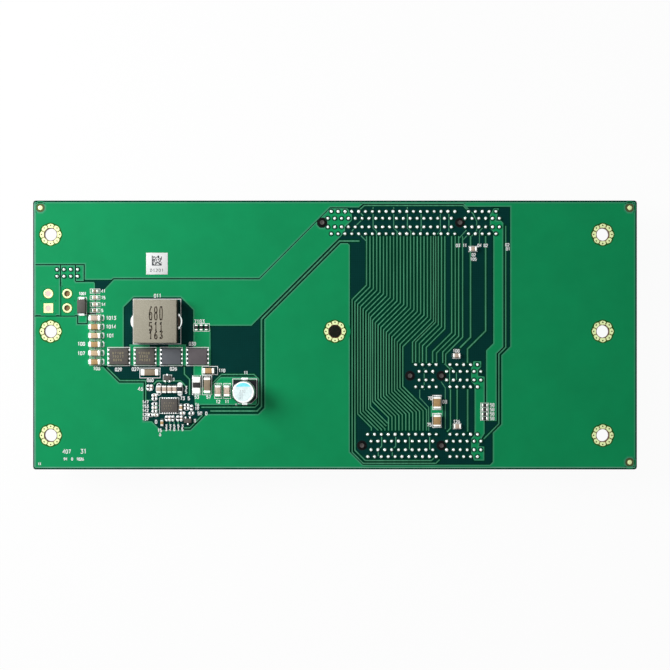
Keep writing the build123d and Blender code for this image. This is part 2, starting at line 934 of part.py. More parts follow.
def add_leads(places, along_x, reach, width, thickness):
    """Add a row of flat leads to the part that is being built, centred on the given places."""
    with BuildSketch(Plane.XY.offset(copper_top)) as footprints:
        with Locations(*places):
            if along_x:
                Rectangle(reach, width)
            else:
                Rectangle(width, reach)
    extrude(footprints.sketch, amount=thickness)


# Power transistors
transistor_xs = [transistor_first_x + n * transistor_pitch for n in range(transistor_count)]
for number, transistor_x in enumerate(transistor_xs, start=1):
    transistor_body = make_body(
        transistor_x,
        transistor_y,
        transistor_length,
        transistor_width,
        transistor_height,
        transistor_taper,
    )
    finish(transistor_body, f"power_transistor_{number}")

with BuildPart() as power_transistor_leads:
    lead_reach = (transistor_length + transistor_lead_reach) / 2
    lead_rows = range(transistor_leads_a_side)
    lead_ys = [transistor_y + (n - 1.5) * transistor_lead_pitch for n in lead_rows]
    lead_places = [
        (x + side * lead_reach, y) for x in transistor_xs for side in (-1, 1) for y in lead_ys
    ]
    lead_size = (transistor_lead_reach, transistor_lead_width, transistor_lead_thickness)
    add_leads(lead_places, True, *lead_size)
finish(power_transistor_leads, "power_transistor_leads")

# Controller chip
finish(
    make_body(
        controller_x, controller_y, controller_length, controller_width, controller_height
    ),
    "controller_chip",
)
with BuildPart() as controller_leads:
    lead_offset = (controller_width + controller_lead_reach) / 2
    first_lead = -(controller_leads_a_side - 1) / 2 * controller_lead_pitch
    lead_places = [
        (controller_x + first_lead + n * controller_lead_pitch, controller_y + side * lead_offset)
        for n in range(controller_leads_a_side)
        for side in (-1, 1)
    ]
    lead_size = (controller_lead_reach, controller_lead_width, controller_lead_thickness)
    add_leads(lead_places, False, *lead_size)
finish(controller_leads, "controller_leads")

# Surge diode
finish(
    make_body(diode_x, diode_y, diode_width, diode_length, diode_height, diode_taper),
    "surge_diode_body",
)
with BuildPart() as surge_diode_terminals:
    lug_offset = (diode_length + diode_lug_reach) / 2
    lug_places = [(diode_x, diode_y + side * lug_offset) for side in (-1, 1)]
    add_leads(lug_places, False, diode_lug_reach, diode_lug_width, diode_lug_height)
finish(surge_diode_terminals, "surge_diode_terminals")

# Small transistors: two legs on one side, one on the other
small_transistors = ((-48.85, -12.55, -1), (-42.9, -25.0, 1))
with BuildPart() as small_transistor_bodies:
    with BuildSketch(Plane.XY.offset(copper_top)):
        with Locations(*[(x, y) for x, y, _ in small_transistors]):
            Rectangle(small_transistor_length, small_transistor_width)
    extrude(amount=small_transistor_height)
finish(small_transistor_bodies, "small_transistor_bodies")

with BuildPart() as small_transistor_legs:
    leg_offset = (small_transistor_width + small_leg_reach) / 2
    leg_places = []
    for x, y, paired_side in small_transistors:
        leg_places.append((x, y - paired_side * leg_offset))
        for step in (-0.5, 0.5):
            leg_places.append((x + step * small_leg_spacing, y + paired_side * leg_offset))
    add_leads(leg_places, False, small_leg_reach, small_leg_width, small_leg_thickness)
finish(small_transistor_legs, "small_transistor_legs")

# Code label
with BuildPart() as code_label:
    with BuildSketch(Plane.XY.offset(copper_top)):
        with Locations((label_x, label_y)):
            Rectangle(label_width, label_height)
    extrude(amount=label_thickness)
finish(code_label, "code_label")


# Two-ended chips, by kind. Lengths are of the chips alone, without their solder.
input_capacitor_x = -69.9
input_capacitor_y = 4.95
input_capacitor_pitch = 2.55
input_capacitor_count = 6
large_chip = (3.2, 1.6, 1.5, 0.65)
middle_chip = (2.1, 1.25, 1.1, 0.5)
small_chip = (1.65, 0.85, 0.7, 0.4)
tiny_length = 1.05
tiny_width = 0.55
tiny_height = 0.45

input_capacitors = [
    Chip(input_capacitor_x, input_capacitor_y - n * input_capacitor_pitch, *large_chip)
    for n in range(input_capacitor_count)
]
ceramic_capacitors = [
    Chip(-36.75, -10.4, *large_chip),
    Chip(-34.05, -16.25, *large_chip, upright=True),
    Chip(-31.45, -16.25, *large_chip, upright=True),
    Chip(-37.2, -14.6, 4.5, 1.9, 1.7, 0.75, True),
    Chip(29.7, x1_y - 7.8, 3.3, 2.4, 1.6, 0.55, True),
    Chip(29.7, x4_y + 7.25, 3.3, 2.4, 1.6, 0.55, True),
    Chip(40.2, x8_y - 7.7, *middle_chip),
    Chip(35.4, x1_y + 5.9, *middle_chip),
    Chip(35.6, x4_y + 5.6, *middle_chip),
    Chip(-51.3, -15.8, *middle_chip, upright=True),
    Chip(-49.7, -15.8, *middle_chip, upright=True),
    Chip(-48.15, -15.8, *middle_chip, upright=True),
    Chip(-46.7, -15.8, *middle_chip, upright=True),
    Chip(-50.4, -25.6, *small_chip, upright=True),
    Chip(-44.9, -21.1, *small_chip, upright=True),
    Chip(-69.9, 12.8, *small_chip),
    Chip(-69.9, 8.9, *small_chip),
]
sense_resistors = [
    Chip(-53.9, -10.85, 5.0, 1.85, 0.8, 1.0),
    Chip(-40.35, -14.6, 5.0, 2.1, 0.8, 1.8, True),
]
chip_resistors = [
    Chip(-45.2, -15.75, *middle_chip, upright=True),
    Chip(-69.9, 10.9, *small_chip),
    Chip(-69.9, 7.15, *small_chip),
    *[Chip(-40.4 + n * 1.45, 2.2, *small_chip, upright=True) for n in range(3)],
    *[Chip(43.6, x4_y + 7.85 + n * 1.3, *small_chip) for n in range(4)],
]
tiny_lying = [
    (-52.6, -17.6),
    (-52.6, -18.6),
    (-52.6, -20.1),
    (-52.6, -21.2),
    (-52.6, -22.2),
    (-53.7, -23.3),
    (-52.2, -23.3),
    (-43.25, -20.5),
    (-43.25, -21.4),
    (-44.4, -22.8),
    (-41.85, -22.85),
]
tiny_upright = [
    (-49.05, -24.3),
    (-48.2, -24.3),
    (-47.25, -24.3),
    (-45.8, -24.3),
    (-44.8, -24.3),
    (-41.8, -21.2),
    (-54.5, -15.3),
    (-53.5, -15.3),
]


def make_chips(chips, ends):
    """Build the ceramic bodies, or else the metal ends, of a list of chips."""
    with BuildPart() as pieces:
        for chip in chips:
            body_length = chip.length - 2 * chip.end
            if ends:
                offset = (body_length + chip.end) / 2
                steps = (-offset, offset)
                size = (chip.end, chip.width)
            else:
                steps = (0,)
                size = (body_length, chip.width)
            if chip.upright:
                places = [(chip.x, chip.y + step) for step in steps]
                size = (size[1], size[0])
            else:
                places = [(chip.x + step, chip.y) for step in steps]
            with BuildSketch(Plane.XY.offset(copper_top)):
                with Locations(*places):
                    Rectangle(*size)
            extrude(amount=chip.height)
    return pieces


for number, capacitor in enumerate(input_capacitors, start=1):
    finish(make_chips([capacitor], ends=False), f"input_capacitor_{number}")
finish(make_chips(input_capacitors, ends=True), "input_capacitor_ends")
finish(make_chips(ceramic_capacitors, ends=False), "ceramic_capacitors")
finish(make_chips(ceramic_capacitors, ends=True), "ceramic_capacitor_ends")
finish(make_chips(sense_resistors, ends=False), "sense_resistors")
finish(make_chips(sense_resistors, ends=True), "sense_resistor_ends")
finish(make_chips(chip_resistors, ends=False), "chip_resistors")
finish(make_chips(chip_resistors, ends=True), "chip_resistor_ends")

with BuildPart() as tiny_chips:
    add_leads(tiny_lying, True, tiny_length, tiny_width, tiny_height)
    add_leads(tiny_upright, False, tiny_length, tiny_width, tiny_height)
finish(tiny_chips, "tiny_chips")
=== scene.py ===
"""Looks of the riser card backplane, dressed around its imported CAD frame.

The board lies soldered side up on the mouths of its three card sockets, as in the frame. All
size fields are in millimetres in the frame's axes, and a Shape turns them into metres when it
becomes an object. Pieces that the CAD frame already holds are rebuilt finer and stand for their
nodes, and the print on the board is added as thin ink.
"""

from __future__ import annotations

import logging
import math
import random
from collections.abc import Iterable, Sequence
from dataclasses import dataclass, field
from enum import Enum

import bmesh
import bpy
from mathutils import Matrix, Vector

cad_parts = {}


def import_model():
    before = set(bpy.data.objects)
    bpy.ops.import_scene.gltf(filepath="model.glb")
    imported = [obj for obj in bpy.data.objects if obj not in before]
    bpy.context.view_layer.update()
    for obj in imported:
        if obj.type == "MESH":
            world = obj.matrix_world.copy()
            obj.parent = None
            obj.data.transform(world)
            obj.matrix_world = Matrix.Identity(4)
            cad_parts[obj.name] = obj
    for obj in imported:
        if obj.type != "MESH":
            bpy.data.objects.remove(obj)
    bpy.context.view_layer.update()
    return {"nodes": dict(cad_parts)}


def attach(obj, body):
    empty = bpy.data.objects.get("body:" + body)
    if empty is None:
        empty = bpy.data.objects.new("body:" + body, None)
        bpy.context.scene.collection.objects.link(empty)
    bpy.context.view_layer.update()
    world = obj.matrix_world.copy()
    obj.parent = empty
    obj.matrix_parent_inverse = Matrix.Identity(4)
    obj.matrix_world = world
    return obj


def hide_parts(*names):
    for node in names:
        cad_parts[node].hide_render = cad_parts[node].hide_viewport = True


LOG = logging.getLogger("riser_card_backplane")
MM = 0.001

BOARD_BOTTOM = 11.25
BOARD_TOP = 12.85
COPPER = 12.9
PAD_TOP = COPPER + 0.02
FAR_SIDE = BOARD_BOTTOM - 0.02

Plug = bpy.types.NodeSocket
Thing = bpy.types.Object
Vert = bmesh.types.BMVert
Face = bmesh.types.BMFace
Point = tuple[float, float]
Place = tuple[float, float, float]
Colour = tuple[float, float, float, float]
Value = Plug | Colour | Place | float

WHITE: Colour = (1.0, 1.0, 1.0, 1.0)


def tint(*display: int) -> Colour:
    """Turn a display colour into the linear one that shaders take.

    Args:
        display: Red, green and blue from 0 to 255.

    Returns:
        The linear colour with full alpha.
    """
    red, green, blue = (
        part / 12.92 if part <= 0.04045 else ((part + 0.055) / 1.055) ** 2.4
        for part in (number / 255 for number in display)
    )
    return (red, green, blue, 1.0)


def shade(colour: Colour, factor: float) -> Colour:
    """Give a linear colour some times as bright, but below full white."""
    red, green, blue = (min(part * factor, 0.95) for part in colour[:3])
    return (red, green, blue, 1.0)


def arc(
    centre: Point, radii: Point, count: int, start: float = 0.0, end: float = math.tau
) -> list[Point]:
    """Give even points on an ellipse, or on an arc of it with both its ends.

    Args:
        centre: Middle of the ellipse.
        radii: Its radii along X and Y.
        count: How many points.
        start: Angle of the first point.
        end: Angle of the last point, or a whole turn for the closed ellipse.

    Returns:
        The points, counter-clockwise where both radii are positive.
    """
    steps = count if end - start == math.tau else count - 1
    angles = [start + (end - start) * step / steps for step in range(count)]
    return [
        (centre[0] + radii[0] * math.cos(angle), centre[1] + radii[1] * math.sin(angle))
        for angle in angles
    ]


def circle(centre: Point, radius: float, count: int = 32) -> list[Point]:
    """Give even points on a circle."""
    return arc(centre, (radius, radius), count)


def round_square(centre: Point, half: float) -> list[Point]:
    """Give points on a square about a centre, in the directions of a circle's points."""
    ways = [(x, y, half / max(abs(x), abs(y))) for x, y in circle((0.0, 0.0), 1.0)]
    return [(centre[0] + x * reach, centre[1] + y * reach) for x, y, reach in ways]


def paint(faces: Iterable[Face], finish: int) -> None:
    """Give faces the finish of an index."""
    for face in faces:
        face.material_index = finish


class Slot(Enum):
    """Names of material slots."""

    LAMINATE = "laminate"
    COPPER = "covered_copper"
    TRACE = "covered_trace"
    GOLD = "gold_plate"
    SOCKET = "socket_plastic"
    SOLDER = "solder"
    LUG = "tinned_lug"
    CORE = "pressed_core"
    CAN = "can_metal"
    CAN_INK = "can_mark_ink"
    RESIN = "black_resin"
    TAN = "tan_ceramic"
    DARK = "black_ceramic"
    LABEL = "label_film"


class Graph:
    """A node tree with short calls that add, set and link its nodes."""

    def __init__(self, tree: bpy.types.NodeTree) -> None:
        """Take a tree and empty it."""
        self.nodes, self.links = tree.nodes, tree.links
        self.nodes.clear()

    def add(
        self, kind: str, inputs: dict[str | int, Value] | None = None, **settings: str
    ) -> bpy.types.Node:
        """Add a node.

        Args:
            kind: Type of the node.
            inputs: What goes into its inputs. A socket is linked, anything else is set.
            settings: Values of its own fields.

        Returns:
            The node.
        """
        node = self.nodes.new(kind)
        for name, value in settings.items():
            setattr(node, name, value)
        for key, value in (inputs or {}).items():
            if isinstance(value, Plug):
                self.links.new(value, node.inputs[key])
            else:
                node.inputs[key].default_value = value
        return node

    def join(self, operation: str, first: Value, second: Value = 0.0) -> Plug:
        """Give the result of one sum of two values."""
        return self.add("ShaderNodeMath", {0: first, 1: second}, operation=operation).outputs[0]

    def blend(self, factor: Value, first: Value, second: Value) -> Plug:
        """Give a mix of two colours, where the factor is the second one's share."""
        inputs = {0: factor, 6: first, 7: second}
        return self.add("ShaderNodeMix", inputs, data_type="RGBA").outputs[2]

    def seen(self) -> tuple[Plug, bpy.types.bpy_prop_collection]:
        """Give 1 for a ray from the camera or a gloss, and all outputs of the path."""
        path = self.add("ShaderNodeLightPath").outputs
        return self.join("MAXIMUM", path["Is Camera Ray"], path["Is Glossy Ray"]), path


class Surface(Graph):
    """A material's node tree with the nodes that the finishes share."""

    def __init__(self, name: str) -> None:
        """Start a material with its output and main shader.

        Args:
            name: The material's name.
        """
        self.material = bpy.data.materials.new(name)
        self.material.use_nodes = True
        super().__init__(self.material.node_tree)
        self.shader = self.add("ShaderNodeBsdfPrincipled")
        self.add("ShaderNodeOutputMaterial", {"Surface": self.shader.outputs["BSDF"]})
        self.place = self.add("ShaderNodeTexCoord").outputs["Object"]

    def noise(
        self,
        size: float,
        detail: float = 3.0,
        stretch: Place = (1.0, 1.0, 1.0),
        roughness: float = 0.55,
    ) -> Plug:
        """Give a noise with features of one size.

        Args:
            size: Size of the features in millimetres.
            detail: Octaves of finer noise.
            stretch: Factors on the coordinates along X, Y and Z.
            roughness: Share of the finer octaves.

        Returns:
            The noise's value.
        """
        place = self.add("ShaderNodeMapping", {"Vector": self.place, "Scale": stretch})
        inputs = {
            "Vector": place.outputs["Vector"],
            "Scale": 1.0 / (size * MM),
            "Detail": detail,
            "Roughness": roughness,
        }
        return self.add("ShaderNodeTexNoise", inputs).outputs["Fac"]

    def span(
        self,
        value: Value,
        low: float,
        high: float,
        from_low: float = 0.3,
        from_high: float = 0.7,
    ) -> Plug:
        """Map a value onto a range, clamped.

        Args:
            value: The value to map.
            low: Result at the low end.
            high: Result at the high end.
            from_low: Value that gives the low end.
            from_high: Value that gives the high end.

        Returns:
            The mapped value.
        """
        inputs = {
            "Value": value, "From Min": from_low, "From Max": from_high, "To Min": low,
            "To Max": high,
        }
        return self.add("ShaderNodeMapRange", inputs).outputs["Result"]

    def colour(self, socket: Plug) -> None:
        """Lead a colour into the shader."""
        self.links.new(socket, self.shader.inputs["Base Color"])

    def bump(self, height: Plug, depth: float, strength: float) -> None:
        """Lead a height into the normal, where 1 is a depth in millimetres."""
        node = self.add("ShaderNodeBump", {"Height": height, "Distance": depth * MM, "Strength": strength})
        self.links.new(node.outputs["Normal"], self.shader.inputs["Normal"])


@dataclass(frozen=True)
class Finish:
    """A surface whose colour wanders a little and whose grain shows in its gloss.

    Attributes:
        name: Name of the material.
        tone: Middle colour, linear.
        roughness: Middle roughness.
        metallic: Share of metal.
        specular: Level of the dielectric gloss.
        mottle: How far the colour wanders, as a share.
        mottle_size: Size of the wandering in millimetres.
        grain: Depth of the fine grain in millimetres.
        grain_size: Size of the grain in millimetres.
    """

    name: str
    tone: Colour
    roughness: float = 0.5
    metallic: float = 0.0
    specular: float = 0.3
    mottle: float = 0.06
    mottle_size: float = 4.0
    grain: float = 0.004
    grain_size: float = 0.25

    def material(self) -> bpy.types.Material:
        """Give the finish's material, made on its first use.

        Returns:
            The material.
        """
        known = bpy.data.materials.get(self.name)
        if known:
            return known
        surface = Surface(self.name)
        shader = surface.shader.inputs
        shader["Metallic"].default_value = self.metallic
        shader["Specular IOR Level"].default_value = self.specular
        uneven = surface.noise(self.mottle_size * 0.4, 2.0)
        low, high = self.roughness * 0.88, min(self.roughness * 1.12, 1.0)
        surface.links.new(surface.span(uneven, low, high), shader["Roughness"])
        self.dress(surface)
        return surface.material

    def dress(self, surface: Surface) -> None:
        """Add the colour and the grain."""
        surface.colour(self.wandering(surface, self.tone))
        surface.bump(surface.noise(self.grain_size, 4.0), self.grain, 0.5)

    def wandering(self, surface: Surface, colour: Colour) -> Plug:
        """Give a colour that wanders between a darker and a lighter one."""
        patches = surface.span(surface.noise(self.mottle_size, 3.0), 0.0, 1.0)
        return surface.blend(patches, shade(colour, 1 - self.mottle), shade(colour, 1 + self.mottle))


@dataclass(frozen=True)
class WovenLaminate(Finish):
    """Laminate under green mask: glass weave on its faces and layered resin at its edges.

    Attributes:
        weave: Pitch of the weave in millimetres.
        under: Colour of the masked copper that covers the underside.
        edge_light: Light colour of the cut edge.
        edge_dark: Dark colour of the cut edge.
    """

    weave: float = 0.55
    under: Colour = (0.02, 0.27, 0.12, 1.0)
    edge_light: Colour = (0.42, 0.40, 0.18, 1.0)
    edge_dark: Colour = (0.20, 0.24, 0.09, 1.0)

    def dress(self, surface: Surface) -> None:
        """Add the weave, the masked underside and the layers of the edge.

        Args:
            surface: Material that is dressed.
        """
        span, blend, join = surface.span, surface.blend, surface.join
        inputs = {
            "Vector": surface.place,
            "Scale": math.tau / 20.0 / (self.weave * MM),
            "Distortion": 0.6,
            "Detail": 1.0,
            "Detail Scale": 0.4,
        }
        waves = (surface.add("ShaderNodeTexWave", inputs, bands_direction=axis) for axis in "XY")
        weave = join("MULTIPLY", *(wave.outputs["Fac"] for wave in waves))
        across = span(weave, 0.0, 1.0, 0.0, 1.0)
        woven = blend(across, shade(self.tone, 0.86), shade(self.tone, 1.2))
        patches = span(surface.noise(self.mottle_size, 3.0), 0.0, 0.4)
        face = blend(patches, woven, shade(self.tone, 1.25))
        layers = surface.noise(0.12, 3.0, (0.06, 0.06, 1.0))
        edge = blend(span(layers, 0.0, 1.0), self.edge_dark, self.edge_light)
        geometry = surface.add("ShaderNodeNewGeometry").outputs["True Normal"]
        upward = surface.add("ShaderNodeSeparateXYZ", {"Vector": geometry}).outputs["Z"]
        below = self.wandering(surface, self.under)
        faces = blend(span(upward, 0.0, 1.0, -0.5, 0.5), below, face)
        flat = join("MULTIPLY", upward, upward)
        surface.colour(blend(span(flat, 0.0, 1.0, 0.3, 0.7), edge, faces))
        surface.bump(weave, 0.008, 0.2)


@dataclass(frozen=True)
class LanedTrace(Finish):
    """Masked traces whose brightness differs from lane to lane.

    Attributes:
        lane: Width of a lane.
        spread: Share by which the brightness differs.
    """

    lane: float = 0.55
    spread: float = 0.22

    def dress(self, surface: Surface) -> None:
        """Add the lanes and the grain.

        Args:
            surface: Material that is dressed.
        """
        lanes = surface.span(surface.noise(self.lane, 1.0, (1.0, 0.04, 1.0)), 0.0, 1.0)
        dim, bright = shade(self.tone, 1 - self.spread), shade(self.tone, 1 + self.spread)
        surface.colour(surface.blend(lanes, dim, bright))
        surface.bump(surface.noise(self.grain_size, 3.0), self.grain, 0.4)


@dataclass(frozen=True)
class PressedPowder(Finish):
    """Pressed metal powder: coarse dark and light specks of a given size in a matt skin."""

    speck: float = 0.16

    def dress(self, surface: Surface) -> None:
        """Add the specks and their relief.

        Args:
            surface: Material that is dressed.
        """
        specks = surface.noise(self.speck, 2.0, roughness=0.7)
        dark = surface.span(specks, 1.0, 0.0, 0.36, 0.46)
        light = surface.span(specks, 0.0, 1.0, 0.56, 0.66)
        body = self.wandering(surface, self.tone)
        spotted = surface.blend(dark, body, shade(self.tone, 0.72))
        surface.colour(surface.blend(light, spotted, shade(self.tone, 1.28)))
        surface.bump(specks, 0.03, 0.55)


@dataclass(frozen=True)
class BrushedCan(Finish):
    """Drawn aluminium with fine rings of its rolling and a faint cloudiness."""

    def dress(self, surface: Surface) -> None:
        """Add the cloudiness and the rings."""
        surface.colour(self.wandering(surface, self.tone))
        surface.bump(surface.noise(0.3, 3.0, (1.0, 0.08, 1.0)), 0.004, 0.4)


class Palette:
    """Every finish on the part."""

    LAMINATE = WovenLaminate("masked laminate", tint(6, 56, 52), 0.5, specular=0.02, mottle=0.1)
    POOL = Finish("pooled mask", tint(0, 60, 40), 0.5, specular=0.01, mottle=0.08, grain=0.001)
    MOAT = Finish("mask at pads", tint(44, 98, 38), 0.5, specular=0.05, mottle=0.15)
    # Dark ring round each joint: the mask's own colour, darkened as painted shade of the joint.
    JOINT_RING_SHADE = Finish("mask round a joint", tint(12, 66, 48), 0.5, specular=0.03, mottle=0.15)
    FOIL = Finish("masked foil", tint(8, 149, 90), 0.5, specular=0.1, mottle=0.05, mottle_size=9.0)
    RIM = Finish("foil rim", tint(66, 156, 116), 0.5, specular=0.1, mottle=0.05)
    # Painted highlight: pale strips where light glances off the board's left and lower edges.
    PAINTED_EDGE_GLINT = Finish("pale board edge", tint(104, 172, 142), 0.4, specular=0.2, mottle=0.1)
    RIM_INNER = Finish("foil inner rim", tint(34, 152, 98), 0.5, specular=0.1, mottle=0.05)
    TRACE = LanedTrace("masked trace", tint(78, 152, 116), 0.5, specular=0.08)
    TRACE_SIDE = Finish("trace shoulder", tint(16, 92, 62), 0.5, specular=0.03, mottle=0.06)
    GOLD = Finish("gold plate", tint(228, 242, 178), 0.42, metallic=0.4, mottle=0.06)
    # Copper plating, darkened as painted shade of the hole's wall.
    BARREL_SHADE = Finish("plated barrel", tint(104, 72, 44), 0.5, metallic=0.1, mottle=0.2)
    DOT_RING = Finish("ring of a sighting dot", tint(88, 98, 62), 0.5, specular=0.1, mottle=0.1)
    SEAM = Finish("seam of a pad", tint(122, 98, 52), 0.6, mottle=0.15)
    VIA = Finish("via mouth", tint(92, 86, 44), 0.6, mottle=0.1)
    # Discs in the input holes: painted light of lit floor through the outer holes, painted shade of shaded
    # floor through the inner ones.
    HOLE_LIGHT = Finish("filled hole", tint(230, 208, 196), 0.5, metallic=0.1, mottle=0.08)
    HOLE_SHADE = Finish("open hole", tint(148, 118, 76), 0.6, mottle=0.12)
    SOLDER = Finish("bright solder", tint(246, 250, 248), 0.28, metallic=0.95, mottle=0.05)
    LUG = Finish("tinned lug", tint(226, 230, 228), 0.32, metallic=0.9, mottle=0.08)
    END = Finish("tinned end", tint(244, 246, 240), 0.34, metallic=0.8, mottle=0.05)
    CORE = PressedPowder("pressed core", tint(168, 163, 146), 0.8, mottle=0.05)
    # Side walls of the pressed core, darkened as painted shade.
    CORE_WALL_SHADE = PressedPowder("pressed core wall", tint(38, 38, 34), 0.85, specular=0.1)
    # Dark patch on the right lug: painted shadow of the inductor block.
    LUG_SHADOW = Finish("soldering residue", tint(74, 62, 48), 0.5, mottle=0.4, mottle_size=0.7)
    # Flat dark strokes and discs: painted shade of the stamp's recesses.
    STAMP_SHADE = Finish("stamped figures", tint(80, 72, 60), 0.85, mottle=0.15, mottle_size=0.6)
    PIT_SHADE = Finish("stamped pits", tint(24, 20, 16), 0.9, mottle=0.2, mottle_size=0.4)
    CAN = BrushedCan("can metal", tint(248, 250, 250), 0.3, metallic=0.8, mottle=0.03)
    CAN_TOP = BrushedCan("can top", tint(222, 244, 246), 0.4, metallic=0.3, mottle=0.12, mottle_size=1.1)
    CAN_PRINT = Finish("can print", tint(196, 206, 208), 0.5, metallic=0.2, mottle=0.1, mottle_size=0.5)
    CAN_INK = Finish("can ink", tint(122, 228, 240), 0.4, metallic=0.4, mottle=0.1, mottle_size=0.9)
    RESIN = Finish("mould resin", tint(92, 88, 84), 0.7, mottle=0.12, mottle_size=0.7, grain=0.01)
    BLUE_RESIN = Finish("blue-grey resin", tint(94, 97, 102), 0.7, mottle=0.06, grain=0.01)
    PLUM_RESIN = Finish("plum-grey resin", tint(97, 91, 94), 0.7, mottle=0.08, grain=0.01)
    MARKING = Finish("laser marking", tint(146, 138, 112), 0.8, mottle=0.2, mottle_size=0.4)
    BASE = Finish("base plastic", tint(24, 26, 30), 0.6, specular=0.15, mottle=0.1)
    BLACK = Finish("socket plastic", tint(24, 22, 23), 0.5, specular=0.25, grain=0.006)
    # Peg side and the ring round it: black plastic darkened as painted shade; peg tip: the same plastic
    # lightened as painted light.
    PEG_SHADE = Finish("peg side", tint(12, 11, 12), 0.6, specular=0.1, mottle=0.1)
    PEG_LIGHT = Finish("peg tip", tint(76, 70, 68), 0.45, mottle=0.2, mottle_size=0.6)
    TAN = Finish("tan ceramic", tint(212, 184, 148), 0.6, mottle=0.08, mottle_size=0.8)
    PINK = Finish("pink ceramic", tint(206, 184, 166), 0.6, mottle=0.08, mottle_size=0.8)
    AMBER = Finish("amber ceramic", tint(188, 152, 104), 0.6, mottle=0.1, mottle_size=0.8)
    BROWN = Finish("brown ceramic", tint(150, 134, 112), 0.6, mottle=0.1, mottle_size=0.8)
    DARK = Finish("black glaze", tint(38, 36, 36), 0.4, mottle=0.12, mottle_size=0.6)
    INK = Finish("white ink", tint(246, 255, 250), 0.6, mottle=0.03, mottle_size=0.5)
    FILM = Finish("label film", tint(238, 240, 240), 0.6, mottle=0.02)
    PRINT = Finish("label print", tint(62, 66, 70), 0.7, mottle=0.1, mottle_size=0.4)
    SPRING = Finish("spring contact", tint(214, 190, 128), 0.3, metallic=0.8, mottle=0.06)


class Shape:
    """A mesh that is put together in millimetres and then becomes an object in metres."""

    def __init__(self) -> None:
        """Start with nothing."""
        self.mesh = bmesh.new()

    def row(self, points: Iterable[Point], level: float) -> list[Vert]:
        """Add a row of corners at one level."""
        return [self.mesh.verts.new((x, y, level)) for x, y in points]

    def skin(
        self,
        lower: Sequence[Vert],
        upper: Sequence[Vert],
        finish: int = 0,
        closed: bool = True,
    ) -> list[Face]:
        """Join two rows with as many corners by four-sided faces.

        Args:
            lower: The row that runs counter-clockwise seen from outside the faces.
            upper: The other row.
            finish: Index of the finish.
            closed: Whether the rows' ends join their starts.

        Returns:
            The faces.
        """
        count = len(lower)
        faces = []
        for index in range(count if closed else count - 1):
            after = (index + 1) % count
            corners = (lower[index], lower[after], upper[after], upper[index])
            faces.append(self.mesh.faces.new(corners))
        paint(faces, finish)
        return faces

    def prism(self, points: Sequence[Point], low: float, high: float, finish: int = 0) -> None:
        """Add an upright prism.

        Args:
            points: Outline, counter-clockwise seen from above.
            low: Level of its underside.
            high: Level of its top.
            finish: Index of its finish.
        """
        bottom, top = self.row(points, low), self.row(points, high)
        ends = [self.mesh.faces.new(top), self.mesh.faces.new(bottom[::-1])]
        paint(ends, finish)
        self.skin(bottom, top, finish)

    def box(
        self,
        centre: Point,
        size: Point,
        low: float,
        high: float,
        bevel: float = 0.0,
        finish: int = 0,
        segments: int = 2,
        top_inset: float = 0.0,
    ) -> None:
        """Add a box with rounded edges.

        Args:
            centre: Middle in X and Y.
            size: Length along X and Y.
            low: Level of its underside.
            high: Level of its top.
            bevel: Radius of its edges.
            finish: Index of its finish.
            segments: Steps in a rounded edge.
            top_inset: How far the top's sides stand in from the bottom's.
        """
        corners = []
        for level, inset in ((low, 0.0), (high, top_inset)):
            half_x, half_y = size[0] / 2 - inset, size[1] / 2 - inset
            signs = ((-1, -1), (1, -1), (1, 1), (-1, 1))
            outline = [(centre[0] + x * half_x, centre[1] + y * half_y) for x, y in signs]
            corners += self.row(outline, level)
        rings = ((3, 2, 1, 0), (4, 5, 6, 7), (0, 1, 5, 4), (1, 2, 6, 5), (2, 3, 7, 6), (3, 0, 4, 7))
        faces = [self.mesh.faces.new([corners[i] for i in ring]) for ring in rings]
        paint(faces, finish)
        if bevel > 0:
            edges = list(dict.fromkeys(edge for face in faces for edge in face.edges))
            bmesh.ops.bevel(
                self.mesh, geom=edges, offset=bevel, segments=segments, profile=0.5,
                affect="EDGES", material=finish,
            )

    def lathe(self, profile: Sequence[Point], centre: Point, segments: int = 32, finish: int = 0) -> None:
        """Add a turned body.

        Args:
            profile: Radius and level of each ring, from the bottom up on the outside.
            centre: The axis in X and Y.
            segments: Steps round the axis.
            finish: Index of its finish.
        """
        rings = [
            self.row(circle(centre, radius, segments) if radius > 1e-6 else [centre], level)
            for radius, level in profile
        ]
        for lower, upper in zip(rings, rings[1:]):
            if len(lower) == len(upper):
                self.skin(lower, upper, finish)
                continue
            fan = []
            for step in range(segments):
                after = (step + 1) % segments
                if len(lower) == 1:
                    fan.append(self.mesh.faces.new((lower[0], upper[after], upper[step])))
                else:
                    fan.append(self.mesh.faces.new((lower[step], lower[after], upper[0])))
            paint(fan, finish)

    def strip(
        self, first: Iterable[Point], second: Iterable[Point], level: float, finish: int = 0
    ) -> None:
        """Add a flat closed band at a level. The first loop has it on its left."""
        self.skin(self.row(first, level), self.row(second, level), finish)

    def ribbon(
        self,
        points: Sequence[Point],
        width: float,
        level: float,
        finish: int = 0,
        closed: bool = False,
        thickness: float = 0.012,
    ) -> None:
        """Add a flat line of one width, mitred at its corners, with a little thickness.

        Args:
            points: Middle line.
            width: Width across the line.
            level: Level of its top.
            finish: Index of its finish.
            closed: Whether its end joins its start.
            thickness: Height of the line above its underside.
        """
        route = [Vector(point) for point in points]
        count = len(route)
        left, right = [], []
        for index, point in enumerate(route):
            onward = route[(index + 1) % count] - point
            first = point - route[index - 1] if index or closed else onward
            second = onward if index + 1 < count or closed else first
            first, second = first.normalized(), second.normalized()
            across = Vector((-(first.y + second.y), first.x + second.x)).normalized()
            reach = width / 2 / max(across.dot(Vector((-first.y, first.x))), 0.4)
            left.append(point + across * reach)
            right.append(point - across * reach)
        top_left, top_right = self.row(left, level), self.row(right, level)
        low_left, low_right = (self.row(side, level - thickness) for side in (left, right))
        for lower, upper in ((top_right, top_left), (top_left, low_left), (low_right, top_right)):
            self.skin(lower, upper, finish, closed)

    def disc(
        self, centre: Point, radius: float, level: float, finish: int = 0, segments: int = 20
    ) -> None:
        """Add a flat disc that faces up, at a level."""
        paint([self.mesh.faces.new(self.row(circle(centre, radius, segments), level))], finish)

